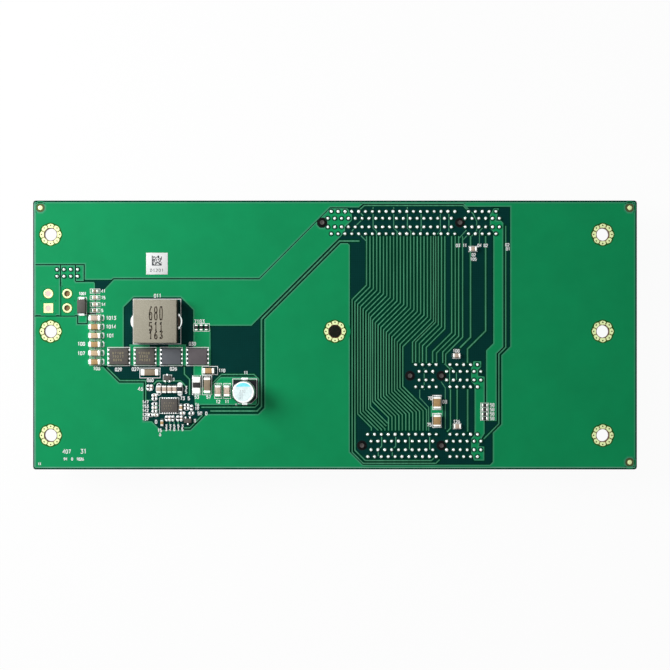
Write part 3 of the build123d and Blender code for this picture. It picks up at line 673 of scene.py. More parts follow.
    def object(self, name: str, finishes: Sequence[Finish], smooth: float | None = 35.0) -> Thing:
        """Turn the shape into an object in metres.

        Args:
            name: Name of the object.
            finishes: Finishes in the order of their indices.
            smooth: Angle in degrees below which edges are smooth, or None for flat faces.

        Returns:
            The object, linked to the scene.
        """
        data = bpy.data.meshes.new(name)
        bmesh.ops.scale(self.mesh, vec=(MM, MM, MM), verts=self.mesh.verts)
        self.mesh.to_mesh(data)
        self.mesh.free()
        for finish in finishes:
            data.materials.append(finish.material())
        if smooth is not None:
            data.shade_smooth()
            data.set_sharp_from_angle(angle=math.radians(smooth))
        return place_object(name, data)

    def piece(
        self,
        name: str,
        slot: Slot,
        nodes: Sequence[str],
        *finishes: Finish,
        smooth: float | None = 35.0,
    ) -> None:
        """Turn the shape into a piece on the frame that stands for CAD nodes."""
        settle(self.object(name, finishes, smooth), slot, nodes)


def place_object(name: str, data: bpy.types.ID) -> Thing:
    """Link a new object to the scene.

    Args:
        name: The object's name.
        data: Its mesh, camera or light.

    Returns:
        The object.
    """
    made = bpy.data.objects.new(name, data)
    bpy.context.scene.collection.objects.link(made)
    return made


def settle(piece: Thing, slot: Slot, nodes: Sequence[str] = ()) -> None:
    """Fix a finished piece to the frame.

    Args:
        piece: The piece.
        slot: Material slot of its finish; not used.
        nodes: CAD nodes that it stands for.
    """
    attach(piece, "root")
    if nodes:
        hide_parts(*nodes)


class Copies(Graph):
    """Geometry Nodes that stand a template on many places, each a little turned and scaled."""

    INPUTS = {
        "Template": "Object", "Finish": "Material", "Seed": "Int", "Lean": "Float",
        "Spin": "Float", "Smallest": "Float", "Largest": "Float",
    }

    def __init__(self) -> None:
        """Build the node tree with its named inputs."""
        self.tree = bpy.data.node_groups.new("copies of a template", "GeometryNodeTree")
        super().__init__(self.tree)
        face = self.tree.interface
        face.new_socket("Geometry", in_out="INPUT", socket_type="NodeSocketGeometry")
        self.sockets: list[str] = []
        for name, kind in self.INPUTS.items():
            socket = face.new_socket(name, in_out="INPUT", socket_type=f"NodeSocket{kind}")
            self.sockets.append(socket.identifier)
        face.new_socket("Geometry", in_out="OUTPUT", socket_type="NodeSocketGeometry")
        self._wire()

    def _wire(self) -> None:
        """Add the nodes that place, turn, scale and paint the copies."""
        given = self.add("NodeGroupInput").outputs
        lean, spin, seed = given["Lean"], given["Spin"], given["Seed"]
        turns, scales = {}, {}
        for offset, (axis, most) in enumerate((("X", lean), ("Y", lean), ("Z", spin)), start=1):
            turns[axis] = self._random(self.join("MULTIPLY", most, -1.0), most, seed, offset)
        for offset, axis in enumerate("XYZ", start=4):
            scales[axis] = self._random(given["Smallest"], given["Largest"], seed, offset)
        points = self.add("GeometryNodeMeshToPoints", {"Mesh": given["Geometry"]})
        info = self.add("GeometryNodeObjectInfo", {"Object": given["Template"]})
        stand = self.add("GeometryNodeInstanceOnPoints", {
            "Points": points.outputs["Points"],
            "Instance": info.outputs["Geometry"],
            "Rotation": self.add("ShaderNodeCombineXYZ", turns).outputs["Vector"],
            "Scale": self.add("ShaderNodeCombineXYZ", scales).outputs["Vector"],
        })
        plain = self.add("GeometryNodeRealizeInstances", {"Geometry": stand.outputs["Instances"]})
        painted = self.add("GeometryNodeSetMaterial", {
            "Geometry": plain.outputs["Geometry"], "Material": given["Finish"],
        })
        self.add("NodeGroupOutput", {"Geometry": painted.outputs["Geometry"]})

    def _random(self, low: Value, high: Value, seed: Plug, offset: int) -> Plug:
        """Give a random number for each copy, between low and high."""
        inputs = {2: low, 3: high, "Seed": self.join("ADD", seed, offset)}
        return self.add("FunctionNodeRandomValue", inputs, data_type="FLOAT").outputs[1]

    def stand(
        self,
        name: str,
        template: Shape,
        places: Sequence[Place],
        finish: Finish,
        slot: Slot,
        nodes: Sequence[str] = (),
        seed: int = 1,
        lean: float = 0.0,
        spin: float = 0.0,
        scales: Point = (1.0, 1.0),
    ) -> None:
        """Stand copies of a template on places, as one plain piece fixed to the frame.

        Args:
            name: Name of the piece.
            template: The shape to copy, drawn about the origin.
            places: Where the copies stand.
            finish: Finish of the copies.
            slot: Material slot of its finish.
            nodes: CAD nodes that it stands for.
            seed: Seed of the random turns and scales.
            lean: Most that a copy leans, in degrees.
            spin: Most that a copy turns about Z, in degrees.
            scales: Smallest and largest scale.
        """
        pattern = template.object(f"{name}_template", [finish], 40)
        data = bpy.data.meshes.new(f"{name}_places")
        data.from_pydata([(x * MM, y * MM, z * MM) for x, y, z in places], [], [])
        carrier = place_object(f"{name}_carrier", data)
        modifier = carrier.modifiers.new("copies", "NODES")
        modifier.node_group = self.tree
        turns = (math.radians(lean), math.radians(spin))
        for socket, value in zip(self.sockets, (pattern, finish.material(), seed, *turns, *scales)):
            modifier[socket] = value
        depsgraph = bpy.context.evaluated_depsgraph_get()
        plain = bpy.data.meshes.new_from_object(carrier.evaluated_get(depsgraph))
        plain.name = name
        made = place_object(name, plain)
        carrier.modifiers.clear()
        for spare in (carrier, pattern):
            bpy.data.objects.remove(spare, do_unlink=True)
        settle(made, slot, nodes)


@dataclass
class Part:
    """A sub-assembly, which knows the CAD nodes and the tree that places copies."""

    nodes: dict[str, Thing]
    copies: Copies

    def add_joints(self, name: str, places: Sequence[Place], seed: int, scales: Point) -> None:
        """Build domed solder joints with the pins' ends, and a dark ring round each, partly mask colour
        and partly painted shade.

        Args:
            name: Start of the names of the pieces and of their CAD node.
            places: Where the joints stand.
            seed: Seed of their turns and scales.
            scales: Smallest and largest scale.
        """
        joint, ring = Shape(), Shape()
        profile = [
            (0.58, 0.0), (0.56, 0.1), (0.51, 0.26), (0.43, 0.4), (0.34, 0.49), (0.25, 0.54),
            (0.23, 0.8), (0.2, 0.86), (0.0, 0.88),
        ]
        joint.lathe(profile, (0.0, 0.0), 14)
        # Dark ring round the joint: mask colour darkened as painted shade.
        ring.lathe([(0.78, 0.026), (0.5, 0.03)], (0.0, 0.0), 16)
        self.copies.stand(
            f"{name}_joints_domed", joint, places, Palette.SOLDER, Slot.SOLDER,
            [f"{name}_solder_joints"], seed, lean=9, spin=180, scales=scales,
        )
        name = f"{name}_joint_rings"
        self.copies.stand(name, ring, places, Palette.JOINT_RING_SHADE, Slot.LAMINATE, seed=seed)


class Foil:
    """A copper node's outline, read from its mesh, to build its masked top and edges on."""

    def __init__(self, node: Thing) -> None:
        """Read the faces and edges of a node's top.

        Args:
            node: The CAD node.
        """
        copy = bmesh.new()
        copy.from_mesh(node.data)
        bmesh.ops.remove_doubles(copy, verts=copy.verts, dist=1e-6)
        top = [face for face in copy.faces if face.normal.z > 0.9]
        upper = set(top)
        follow: dict[Vert, Vert] = {}
        for face in top:
            for corner in face.loops:
                others = [other for other in corner.edge.link_faces if other is not face]
                if not any(other in upper for other in others):
                    follow[corner.vert] = corner.link_loop_next.vert
        self.loops: list[list[Point]] = []
        while follow:
            ring, vert = [], next(iter(follow))
            while vert in follow:
                ring.append((vert.co.x / MM, vert.co.y / MM))
                vert = follow.pop(vert)
            self.loops.append(self._corners(ring))
        self.faces = [[(vert.co.x / MM, vert.co.y / MM) for vert in face.verts] for face in top]
        copy.free()

    @staticmethod
    def _corners(ring: Sequence[Point]) -> list[Point]:
        """Leave out the points that lie on a straight edge.

        Args:
            ring: Points of a closed edge.

        Returns:
            Its corners.
        """
        kept = []
        for index, (x, y) in enumerate(ring):
            before, after = ring[index - 1], ring[(index + 1) % len(ring)]
            turn = (x - before[0]) * (after[1] - y) - (y - before[1]) * (after[0] - x)
            if abs(turn) > 1e-4:
                kept.append((x, y))
        return kept

    @staticmethod
    def _offset(loop: Sequence[Point], distance: float) -> list[Point]:
        """Move a loop to its left, into the foil.

        Args:
            loop: Corners of a closed edge, with the foil on its left.
            distance: How far; a negative one moves it out of the foil.

        Returns:
            The moved corners.
        """
        moved = []
        for index, (x, y) in enumerate(loop):
            before, after = loop[index - 1], loop[(index + 1) % len(loop)]
            arriving = Vector((x - before[0], y - before[1])).normalized()
            leaving = Vector((after[0] - x, after[1] - y)).normalized()
            first = Vector((-arriving.y, arriving.x))
            second = Vector((-leaving.y, leaving.x))
            reach = (first + second) / max(1 + first.dot(second), 0.5)
            moved.append((x + reach.x * distance, y + reach.y * distance))
        return moved

    def add_body(self, shape: Shape) -> None:
        """Add the foil's flat top in the first finish and its sides in the second.

        Args:
            shape: Shape that takes them.
        """
        for corners in self.faces:
            shape.mesh.faces.new(shape.row(corners, COPPER)).material_index = 0
        for loop in self.loops:
            upper, lower = shape.row(loop, COPPER), shape.row(loop, BOARD_TOP)
            shape.skin(lower, upper, 1)

    def add_band(self, shape: Shape, start: float, end: float, level: float, finish: int) -> None:
        """Add a thin band along every edge, from start to end into the foil."""
        for loop in self.loops:
            shape.strip(self._offset(loop, start), self._offset(loop, end), level, finish)


@dataclass
class CopperLayer(Part):
    """The masked copper of the soldered side.

    Attributes:
        pours: CAD nodes of the wide pours.
        lines: CAD nodes of the traces.
        rim: Width of the pale rim of a pour.
        inner_rim: Where the half-pale rim of a pour ends.
        pool: Width of the mask that pools beside copper.
        shoulder: Width of a trace's darker shoulder.
        lift: How far each thin layer lies above the one below.
        thread: Width of a slit or a thread.
        slits: Narrow gaps that run on between the input pads.
        threads: Short thin traces between the pins and round the controller.
    """

    pours: tuple[str, ...] = (
        "ground_plane", "input_positive_pour", "input_return_pour", "input_supply_pour",
        "output_pour", "small_pours", "slot_supply_pour",
    )
    lines: tuple[str, ...] = ("data_traces", "converter_traces")
    rim: float = 0.26
    inner_rim: float = 0.5
    pool: float = 0.3
    shoulder: float = 0.06
    lift: float = 0.006
    thread: float = 0.26
    slits: tuple[tuple[Point, ...], ...] = (((-79.92, 15.6), (-79.92, 5.5)), ((-87.5, 5.5), (-75.7, 5.5)))
    threads: tuple[tuple[Point, ...], ...] = (
        *(((x, 37.3), (x, 31.2), (x + 1.0, 30.2), (x + 1.0, 28.9)) for x in (11.1, 17.1, 21.1)),
        *(((x, 36.0), (x, 30.3), (x - 1.0, 29.3)) for x in (25.1, 30.7, 33.2)),
        *(((x, -28.6), (x, -32.4), (x - 1.0, -33.4), (x - 1.0, -35.3)) for x in (13.6, 17.7)),
        *(((x, -29.4), (x, -33.2), (x + 0.9, -34.1)) for x in (21.7, 27.6)),
        ((7.0, 36.0), (8.1, 34.9), (8.1, 34.1)), ((7.9, 33.6), (6.1, 31.9), (5.9, 31.5)),
        ((5.9, 31.4), (5.0, 30.4), (5.0, 29.6)), ((7.0, 29.5), (9.2, 27.3)),
        ((37.6, 38.0), (40.3, 35.3), (41.3, 33.2), (41.3, 30.5), (39.8, 28.8)),
        ((43.0, 31.2), (42.1, 30.2), (42.1, 25.9)), ((33.0, -8.6), (35.4, -11.0), (35.4, -13.1)),
        ((26.0, -9.8), (26.0, -16.0)), ((24.7, -15.9), (24.7, -18.3), (27.3, -21.1), (27.3, -27.9)),
        ((30.9, -13.6), (32.15, -15.4), (32.15, -27.4)), ((38.9, 29.4), (37.1, 27.5), (37.1, 27.0)),
        ((38.3, 30.6), (36.0, 28.0), (36.0, 27.0)), ((31.9, -8.4), (33.4, -9.9), (33.4, -16.0)),
        ((-49.4, -13.4), (-49.4, -14.2)), *(((x, -25.2), (x, -26.6)) for x in (-46.9, -45.7, -48.2)),
        ((-55.2, -19.0), (-53.2, -19.0)), ((-53.4, -20.6), (-51.2, -20.6)),
        ((-53.4, -21.7), (-51.2, -21.7)),
    )

    def build(self) -> None:
        """Build every pour, trace and pool."""
        pools, threads = Shape(), Shape()
        pour_bands = ((self.rim, 2, 1), (self.inner_rim, 1, 2))
        pour = (Slot.COPPER, pour_bands, (Palette.FOIL, Palette.RIM, Palette.RIM_INNER))
        line = (Slot.TRACE, ((self.shoulder, 1, 1),), (Palette.TRACE, Palette.TRACE_SIDE))
        for name in (*self.pours, *self.lines):
            slot, bands, finishes = pour if name in self.pours else line
            foil, shape = Foil(self.nodes[name]), Shape()
            foil.add_body(shape)
            for width, layer, finish in bands:
                foil.add_band(shape, 0.0, width, COPPER + layer * self.lift, finish)
            shape.piece(f"{name}_masked", slot, [name], *finishes, smooth=None)
            foil.add_band(pools, -self.pool, 0.0, BOARD_TOP + self.lift, 0)
        for points in self.slits:
            pools.ribbon(points, self.thread, COPPER + 4 * self.lift)
        pools.piece("pooled_mask", Slot.LAMINATE, [], Palette.POOL, smooth=None)
        for points in self.threads:
            threads.ribbon(points, self.thread, COPPER - 0.004, thickness=0.044)
        threads.piece("thread_traces", Slot.TRACE, [], Palette.TRACE, smooth=None)


@dataclass
class FixingPad:
    """A plated fixing pad: eight lobes round the hole, each with a small via.

    Attributes:
        lobe_circle: Radius of the circle that the lobes' ends stand on.
        mouth: Half the octagonal opening's width across its corners.
        via_circle: Radius of the circle of vias.
        barrel: Width of the brown lip inside the hole, which paints the shade of the hole's wall.
        clearing: Radius up to which masked copper closes the laminate's gap.
    """

    lobe_radius: float = 1.2
    lobe_circle: float = 1.93
    mouth: float = 2.12
    via_circle: float = 2.66
    via_radius: float = 0.23
    hole_radius: float = 2.0
    barrel: float = 0.2
    clearing: float = 4.5
    seam: float = 0.3
    seam_end: float = 2.78
    steps: int = 96

    def spokes(self) -> list[tuple[float, float, float, float]]:
        """Give the directions round the pad.

        Returns:
            For each one its cosine, its sine, and how far the opening and the lobes reach.
        """
        eighth = math.pi / 4
        made = []
        for step in range(self.steps):
            angle = math.tau * step / self.steps
            off = abs((angle + eighth / 2) % eighth - eighth / 2)
            across, along = self.lobe_circle * math.sin(off), self.lobe_circle * math.cos(off)
            outer = along + math.sqrt(max(self.lobe_radius**2 - across**2, 0.0))
            off = abs(angle % eighth - eighth / 2)
            inner = self.mouth * math.cos(eighth / 2) / math.cos(eighth / 2 - off)
            made.append((math.cos(angle), math.sin(angle), inner, outer))
        return made

    def add(self, pads: Shape, barrels: Shape, centre: Point) -> None:
        """Add a pad, its vias and its barrel.

        Args:
            pads: Shape of the pads: gold first, then vias, dark ring, foil and seams.
            barrels: Shape of the barrels.
            centre: Middle of the hole.
        """
        inner, outer, ring, clear = [], [], [], []
        for x, y, near, far in self.spokes():
            reaches = (near, far, far * 0.4 + 2.2, self.clearing)
            for loop, reach in zip((inner, outer, ring, clear), reaches):
                loop.append((centre[0] + x * reach, centre[1] + y * reach))
        pads.strip(inner, outer, PAD_TOP, 0)
        pads.strip(outer, ring, COPPER - 0.02, 2)
        pads.strip(ring, clear, COPPER + 0.016, 3)
        pads.skin(pads.row(outer, BOARD_TOP), pads.row(outer, PAD_TOP))
        pads.skin(pads.row(inner, PAD_TOP), pads.row(inner, BOARD_TOP))
        pads.strip(outer, inner, FAR_SIDE - 0.005, 0)
        reaches = (self.mouth + 0.06, self.seam_end)
        for lobe, place in enumerate(circle(centre, self.via_circle, 8)):
            turn = (lobe + 0.5) * math.pi / 4
            seam = [
                (centre[0] + reach * math.cos(turn), centre[1] + reach * math.sin(turn))
                for reach in reaches
            ]
            pads.disc(place, self.via_radius, COPPER + 0.024, 1, 12)
            pads.ribbon(seam, self.seam, COPPER + 0.026, 4, thickness=0.004)
            below = FAR_SIDE - 0.01
            pads.lathe([(0.0, below), (self.via_radius, below)], place, 12, 1)
        # The flat brown lip at the top of the barrel is painted shade of the hole's wall.
        wall = [
            (self.mouth + 0.12, BOARD_TOP + 0.01),
            (self.hole_radius - self.barrel, BOARD_TOP + 0.02),
            (self.hole_radius - self.barrel, FAR_SIDE),
            (self.hole_radius + 0.35, FAR_SIDE),
            (self.hole_radius + 0.35, BOARD_BOTTOM),
        ]
        barrels.lathe(wall, centre, 48)


@dataclass
class BareMetal(Part):
    """Plated copper that the mask leaves open: fixing pads, input pads and sighting dots.

    Attributes:
        pad_radius: Radius of a round input pad, and half the square one's width.
        clearing: Half the width of the gap in the laminate's copper at an input pad.
        dot_ring: Radius of the dark ring round a sighting dot.
    """

    fixing_places: tuple[Point, ...] = (
        (-82.9, 29.3), (-82.9, 1.05), (-82.9, -29.25), (0.0, 1.05), (78.05, 29.3),
        (78.05, 1.05), (78.05, -29.25),
    )
    sighting_places: tuple[Point, ...] = ((-85.9, 37.1), (85.9, 37.1), (85.9, -37.1))
    input_rings: tuple[Point, ...] = ((-83.55, 12.05), (-78.05, 12.05), (-78.05, 7.85))
    input_square: Point = (-83.55, 7.85)
    pad_radius: float = 1.38
    hole_radius: float = 0.86
    clearing: float = 2.09
    dot_radius: float = 0.66
    dot_ring: float = 1.3

    def build(self) -> None:
        """Build the pads, their barrels and the dots."""
        pads, barrels, inputs = Shape(), Shape(), Shape()
        fixing = FixingPad()
        for centre in self.fixing_places:
            fixing.add(pads, barrels, centre)
        finishes = (Palette.GOLD, Palette.VIA, Palette.MOAT, Palette.FOIL, Palette.SEAM)
        pads.piece("fixing_pads_lobed", Slot.GOLD, ["fixing_pads"], *finishes, smooth=30)
        for centre in (*self.input_rings, self.input_square):
            self._add_input(inputs, barrels, centre)
        finishes = (Palette.GOLD, Palette.MOAT, Palette.FOIL, Palette.HOLE_LIGHT, Palette.HOLE_SHADE)
        inputs.piece("input_pads_round", Slot.GOLD, ["power_input_pads"], *finishes, smooth=30)
        barrels.piece("plated_barrels", Slot.GOLD, [], Palette.BARREL_SHADE, smooth=30)
        self._add_dots()

    def _add_input(self, inputs: Shape, barrels: Shape, centre: Point) -> None:
        """Add an input pad with its dark gap, its barrel, and a disc in its hole: painted light on the
        outer pads, painted shade on the inner ones.

        Args:
            inputs: Shape of the pads.
            barrels: Shape of the barrels.
            centre: Middle of the pad.
        """
        radius, hole = self.pad_radius, self.hole_radius
        if centre == self.input_square:
            edge, rim = round_square(centre, radius), round_square(centre, radius + 0.14)
            inputs.strip(circle(centre, hole), edge, PAD_TOP, 0)
            inputs.skin(inputs.row(edge, BOARD_TOP), inputs.row(edge, PAD_TOP))
        else:
            edge, rim = circle(centre, radius), circle(centre, radius + 0.22)
            profile = [
                (radius, BOARD_TOP), (radius, COPPER - 0.01), (radius - 0.06, PAD_TOP),
                (hole + 0.08, PAD_TOP), (hole, COPPER - 0.02), (hole, BOARD_TOP),
            ]
            inputs.lathe(profile, centre, 36)
        inputs.strip(edge, rim, COPPER - 0.02, 1)
        inputs.strip(rim, round_square(centre, self.clearing), COPPER + 0.016, 2)
        # Disc in the hole: painted light of the lit floor on the outer pads, painted shade of the shaded
        # floor on the inner ones.
        lit_below = centre[0] < -80
        level = COPPER - 0.02 if lit_below else BOARD_TOP - 0.5
        inputs.disc(centre, hole + 0.01, level, 3 if lit_below else 4, 28)
        wall = [
            (hole + 0.02, BOARD_TOP + 0.02), (hole, BOARD_TOP + 0.02), (hole, FAR_SIDE),
            (hole + 0.4, FAR_SIDE), (hole + 0.4, BOARD_BOTTOM),
        ]
        barrels.lathe(wall, centre, 28)

    def _add_dots(self) -> None:
        """Build the sighting dots with the dark ring round each."""
        dots = Shape()
        radius, ring = self.dot_radius, self.dot_ring
        profile = [(radius, BOARD_TOP), (radius, COPPER - 0.015), (radius - 0.04, COPPER), (0, COPPER)]
        for centre in self.sighting_places:
            dots.lathe(profile, centre, 28)
            dots.strip(circle(centre, radius), circle(centre, ring), BOARD_TOP + 0.01, 1)
            dots.strip(circle(centre, ring), circle(centre, ring + 0.2), COPPER + 0.003, 2)
        finishes = (Palette.GOLD, Palette.DOT_RING, Palette.RIM)
        dots.piece("sighting_dots_round", Slot.GOLD, ["sighting_dots"], *finishes, smooth=30)


@dataclass(frozen=True)
class Socket:
    """One card socket on the far side: short name, place of its key peg and pins a side."""

    name: str
    key: Point
    pins: int

    def pin_x(self, number: int) -> float:
        """Give the X of a pair of pins by its number from the short end."""
        return self.key[0] + (12.5 if number <= 11 else 10.5) - number

    def joints(self) -> list[Place]:
        """Give the foot of every solder joint.

        Returns:
            The places, in two staggered rows on either side.
        """
        return [
            (self.pin_x(number), self.key[1] + side * (1.25 if number % 2 else 3.25), COPPER)
            for number in range(1, self.pins + 1)
            for side in (-1, 1)
        ]


@dataclass
class CardSockets(Part):
    """The three card sockets: bodies, pegs, contacts and solder joints.

    Attributes:
        edge: Radius of the moulded edges.
        slot_wall: How far a slot's wall lies from its middle.
        rib_depth: How far a rib between two contacts stands into the slot.
        leaf_path: Distance from the slot's middle and level of the leaf's inner face, downwards.
    """

    sockets: tuple[Socket, ...] = (
        Socket("x8", (36.4, 32.75), 49),
        Socket("x1", (31.0, -11.86), 18),
        Socket("x4", (31.0, -32.18), 32),
    )
    edge: float = 0.12
    peg_radius: float = 1.15
    peg_top: float = 13.6
    peg_hole: float = 1.42
    slot_wall: float = 1.45
    rib_width: float = 0.34
    rib_depth: float = 0.5
    leaf_width: float = 0.5
    leaf_thickness: float = 0.18
    leaf_path: tuple[Point, ...] = (
        (1.42, 11.2), (1.42, 7.4), (1.3, 6.2), (0.95, 4.6), (0.62, 3.5), (0.56, 3.05),
        (0.66, 2.65), (0.95, 2.2),
    )

    def build(self) -> None:
        """Build every socket."""
        for seed, socket in enumerate(self.sockets, start=3):
            self._add_body(socket)
            self.add_joints(socket.name, socket.joints(), seed, (0.8, 0.96))
            self._add_contacts(socket)

    def _add_body(self, socket: Socket) -> None:
        """Build a socket's housing with rounded edges and its two pegs.

        Args:
            socket: The socket.
        """
        shape = Shape()
        mesh = shape.mesh
        mesh.from_mesh(self.nodes[f"{socket.name}_socket_housing"].data)
        bmesh.ops.remove_doubles(mesh, verts=mesh.verts, dist=1e-6)
        bmesh.ops.scale(mesh, vec=(1 / MM, 1 / MM, 1 / MM), verts=mesh.verts)
        pegs = [vert for vert in mesh.verts if vert.co.z > BOARD_BOTTOM + 0.1]
        bmesh.ops.delete(mesh, geom=pegs, context="VERTS")
        flat, sharpest = math.radians(1), math.radians(40)
        bmesh.ops.dissolve_limit(mesh, angle_limit=flat, verts=mesh.verts, edges=mesh.edges)
        sharp = [
            edge
            for edge in mesh.edges
            if len(edge.link_faces) == 2 and edge.calc_face_angle(0.0) > sharpest
        ]
        bmesh.ops.bevel(mesh, geom=sharp, offset=self.edge, segments=2, profile=0.5, affect="EDGES")
        paint(mesh.faces, 0)
        radius, top = self.peg_radius, self.peg_top
        wall = [
            (radius, BOARD_BOTTOM - 0.6), (radius, top - 0.6), (radius - 0.1, top - 0.4),
            (radius - 0.5, top),
        ]
        end = [(radius - 0.5, top), (0.5, top - 0.01), (0.3, top - 0.12), (0.0, top - 0.16)]
        # The black ring round each peg is painted shade of the gap in its hole; the peg's top is painted
        # light and its side painted shade.
        ring = [(self.peg_hole, BOARD_TOP + 0.012), (radius, BOARD_TOP + 0.014)]
        for centre in (socket.key, (socket.pin_x(socket.pins) - 1.65, socket.key[1])):
            for profile, finish in ((wall, 2), (end, 1), (ring, 2)):
                shape.lathe(profile, centre, 28, finish)
        finishes = (Palette.BLACK, Palette.PEG_LIGHT, Palette.PEG_SHADE)
        name = f"{socket.name}_housing_moulded"
        shape.piece(name, Slot.SOCKET, [f"{socket.name}_socket_housing"], *finishes)

    def _add_contacts(self, socket: Socket) -> None:
        """Build the contacts of a socket and the ribs between them.

        Args:
            socket: The socket.
        """
        key_x, key_y = socket.key
        places = [(socket.pin_x(number), key_y, 0.0) for number in range(1, socket.pins + 1)]
        shifted = [(x - 1.0, key_y, 0.0) for x, *_ in places[:-1] if abs(x - 0.5 - key_x) > 1.4]
        for side, mark in ((-1, "near"), (1, "far")):
            nodes = [f"{socket.name}_socket_contacts"] if side > 0 else []
            self.copies.stand(
                f"{socket.name}_contacts_{mark}", self._leaf(side), places, Palette.SPRING,
                Slot.GOLD, nodes,
            )
            rib = Shape()
            middle = (0.5, side * (self.slot_wall - self.rib_depth / 2))
            rib.box(middle, (self.rib_width, self.rib_depth), 1.1, 8.6, 0.05)
            self.copies.stand(f"{socket.name}_ribs_{mark}", rib, shifted, Palette.BLACK, Slot.SOCKET)

    def _leaf(self, side: int) -> Shape:
        """Draw a sprung contact.

        Args:
            side: -1 for the slot's near side or 1 for its far side.

        Returns:
            The shape about the slot's middle.
        """
        shape = Shape()
        half, rows = self.leaf_width / 2, []
        for y, z in self.leaf_path:
            near, far = side * y, side * (y + self.leaf_thickness)
            rows.append(shape.row([(-half, near), (half, near), (half, far), (-half, far)], z))
        for upper, lower in zip(rows, rows[1:]):
            shape.skin(upper, lower)
        shape.mesh.faces.new(rows[0])
        shape.mesh.faces.new(rows[-1][::-1])
        bmesh.ops.recalc_face_normals(shape.mesh, faces=shape.mesh.faces)
        return shape


@dataclass
class PinHeader(Part):
    """The pin header on the far side, with its joints on this side."""

    centre: Point = (-78.0, 18.1)
    pitch: float = 2.0
    columns: int = 4
    rows: int = 2
    base_height: float = 2.0
    pin_reach: float = 4.0
    pin_width: float = 0.5
    tip: float = 0.3

    def places(self, level: float) -> list[Place]:
        """Give the pins' places at one level.

        Args:
            level: The level.

        Returns:
            The places.
        """
        x = self.centre[0] - (self.columns - 1) / 2 * self.pitch
        y = self.centre[1] - (self.rows - 1) / 2 * self.pitch
        return [
            (x + column * self.pitch, y + row * self.pitch, level)
            for column in range(self.columns)
            for row in range(self.rows)
        ]

    def build(self) -> None:
        """Build the base, pins and joints."""
        base, pin = Shape(), Shape()
        cell, end = self.pitch - 0.02, BOARD_BOTTOM - self.base_height - self.pin_reach
        base.box((0, 0), (cell, cell), -self.base_height, 0, 0.22)
        self.copies.stand(
            "header_base_moulded", base, self.places(BOARD_BOTTOM), Palette.BLACK, Slot.SOCKET,
            ["header_base"],
        )
        size = (self.pin_width, self.pin_width)
        pin.box((0, 0), size, end + self.tip, BOARD_BOTTOM, 0.03)
        pin.box((0, 0), size, end + self.tip, end, top_inset=0.12)
        bmesh.ops.recalc_face_normals(pin.mesh, faces=pin.mesh.faces)
        self.copies.stand(
            "header_pins_pointed", pin, self.places(0.0), Palette.SPRING, Slot.GOLD,
            ["header_pins"],
        )
        self.add_joints("header", self.places(COPPER), 7, (0.84, 0.92))


@dataclass
class Inductor(Part):
    """The power inductor: pressed block with stamped figures and a round lug at either side.

    Attributes:
        height: Height of the block's top above the copper.
        seat: Gap under the block.
        rows: Lines of plain figures: text, foot above the middle and height.
    """

    centre: Point = (-51.9, 3.95)
    width: float = 12.6
    height: float = 5.0
    seat: float = 0.3
    lug_width: float = 3.9
    lug_reach: float = 1.2
    lug_height: float = 1.6
    advance: float = 1.5
    rows: tuple[tuple[str, float, float], ...] = (
        ("680", 0.45, 3.7),
        ("511", -2.65, 2.3),
        ("163", -5.0, 2.0),
    )

    def build(self) -> None:
        """Build the block, its figures and its lugs."""
        block = Shape()
        low, high = COPPER + self.seat, COPPER + self.height
        block.box(self.centre, (self.width, self.width), low, high, 0.3, 0, 3)
        # The block's side walls take a dark finish: painted shade.
        for face in block.mesh.faces:
            face.normal_update()
            if abs(face.normal.z) < 0.5:
                face.material_index = 3
        top = high + 0.004
        # The stamped figures are flat dark strokes: painted shade of the stamp's recesses.
        for text, foot, height in self.rows:
            place = (self.centre[0] - 1.6, self.centre[1] + foot)
            Figures.write(
                block, text, place, height, top, 1, width=0.34, advance=self.advance,
                thickness=0.003, narrow=1.2 / height,
            )
            self._add_pits(block, text, place, height, top + 0.004)
        finishes = (Palette.CORE, Palette.STAMP_SHADE, Palette.PIT_SHADE, Palette.CORE_WALL_SHADE)
        block.piece("inductor_block", Slot.CORE, ["inductor_core"], *finishes)
        self._build_lugs()

    def _build_lugs(self) -> None:
        """Build the lugs, with solder and a painted shadow of the block on the right one."""
        lugs = Shape()
        x, y = self.centre
        top, quarter = COPPER + self.lug_height, math.pi / 2
        for side in (-1, 1):
            radii = (side * self.lug_reach * 0.97, self.lug_width / 2)
            points = arc((x + side * self.width / 2, y), radii, 15, -quarter, quarter)
            lugs.prism(points[::side], COPPER, top)
        wall = x + self.width / 2
        dome = [
            (0.5, top - 0.3), (0.46, top + 0.02), (0.34, top + 0.22), (0.16, top + 0.32),
            (0.0, top + 0.34),
        ]
        for foot in (-1, 1):
            lugs.lathe(dome, (wall + 0.2, y + foot * 1.85), 16, 1)
        # Dark patch on the right lug: painted shadow of the block.
        radii = (self.lug_reach * 0.68, self.lug_width * 0.44)
        lug_shadow = arc((wall + 0.02, y), radii, 15, -quarter, quarter)
        lugs.prism(lug_shadow, top, top + 0.012, 2)
        finishes = (Palette.LUG, Palette.SOLDER, Palette.LUG_SHADOW)
        lugs.piece("inductor_lugs_round", Slot.LUG, ["inductor_terminals"], *finishes, smooth=50)

    def _add_pits(self, block: Shape, text: str, place: Point, height: float, level: float) -> None:
        """Add dark discs, painted shade of the round pits that a stamp leaves at the ends of its strokes.

        Args:
            block: The shape to add to.
            text: The figures.
            place: Left end of the line's foot.
            height: Height of a figure.
            level: Level of the pits.
        """
        for index, character in enumerate(text):
            for stroke in Figures.STROKES[character]:
                for x, y in sorted({stroke[0], stroke[len(stroke) // 2], stroke[-1]}):
                    along = index * self.advance + 0.34 + (x - 0.31) * 0.6
                    block.disc((place[0] + along, place[1] + y * height), 0.22, level, 2, 10)


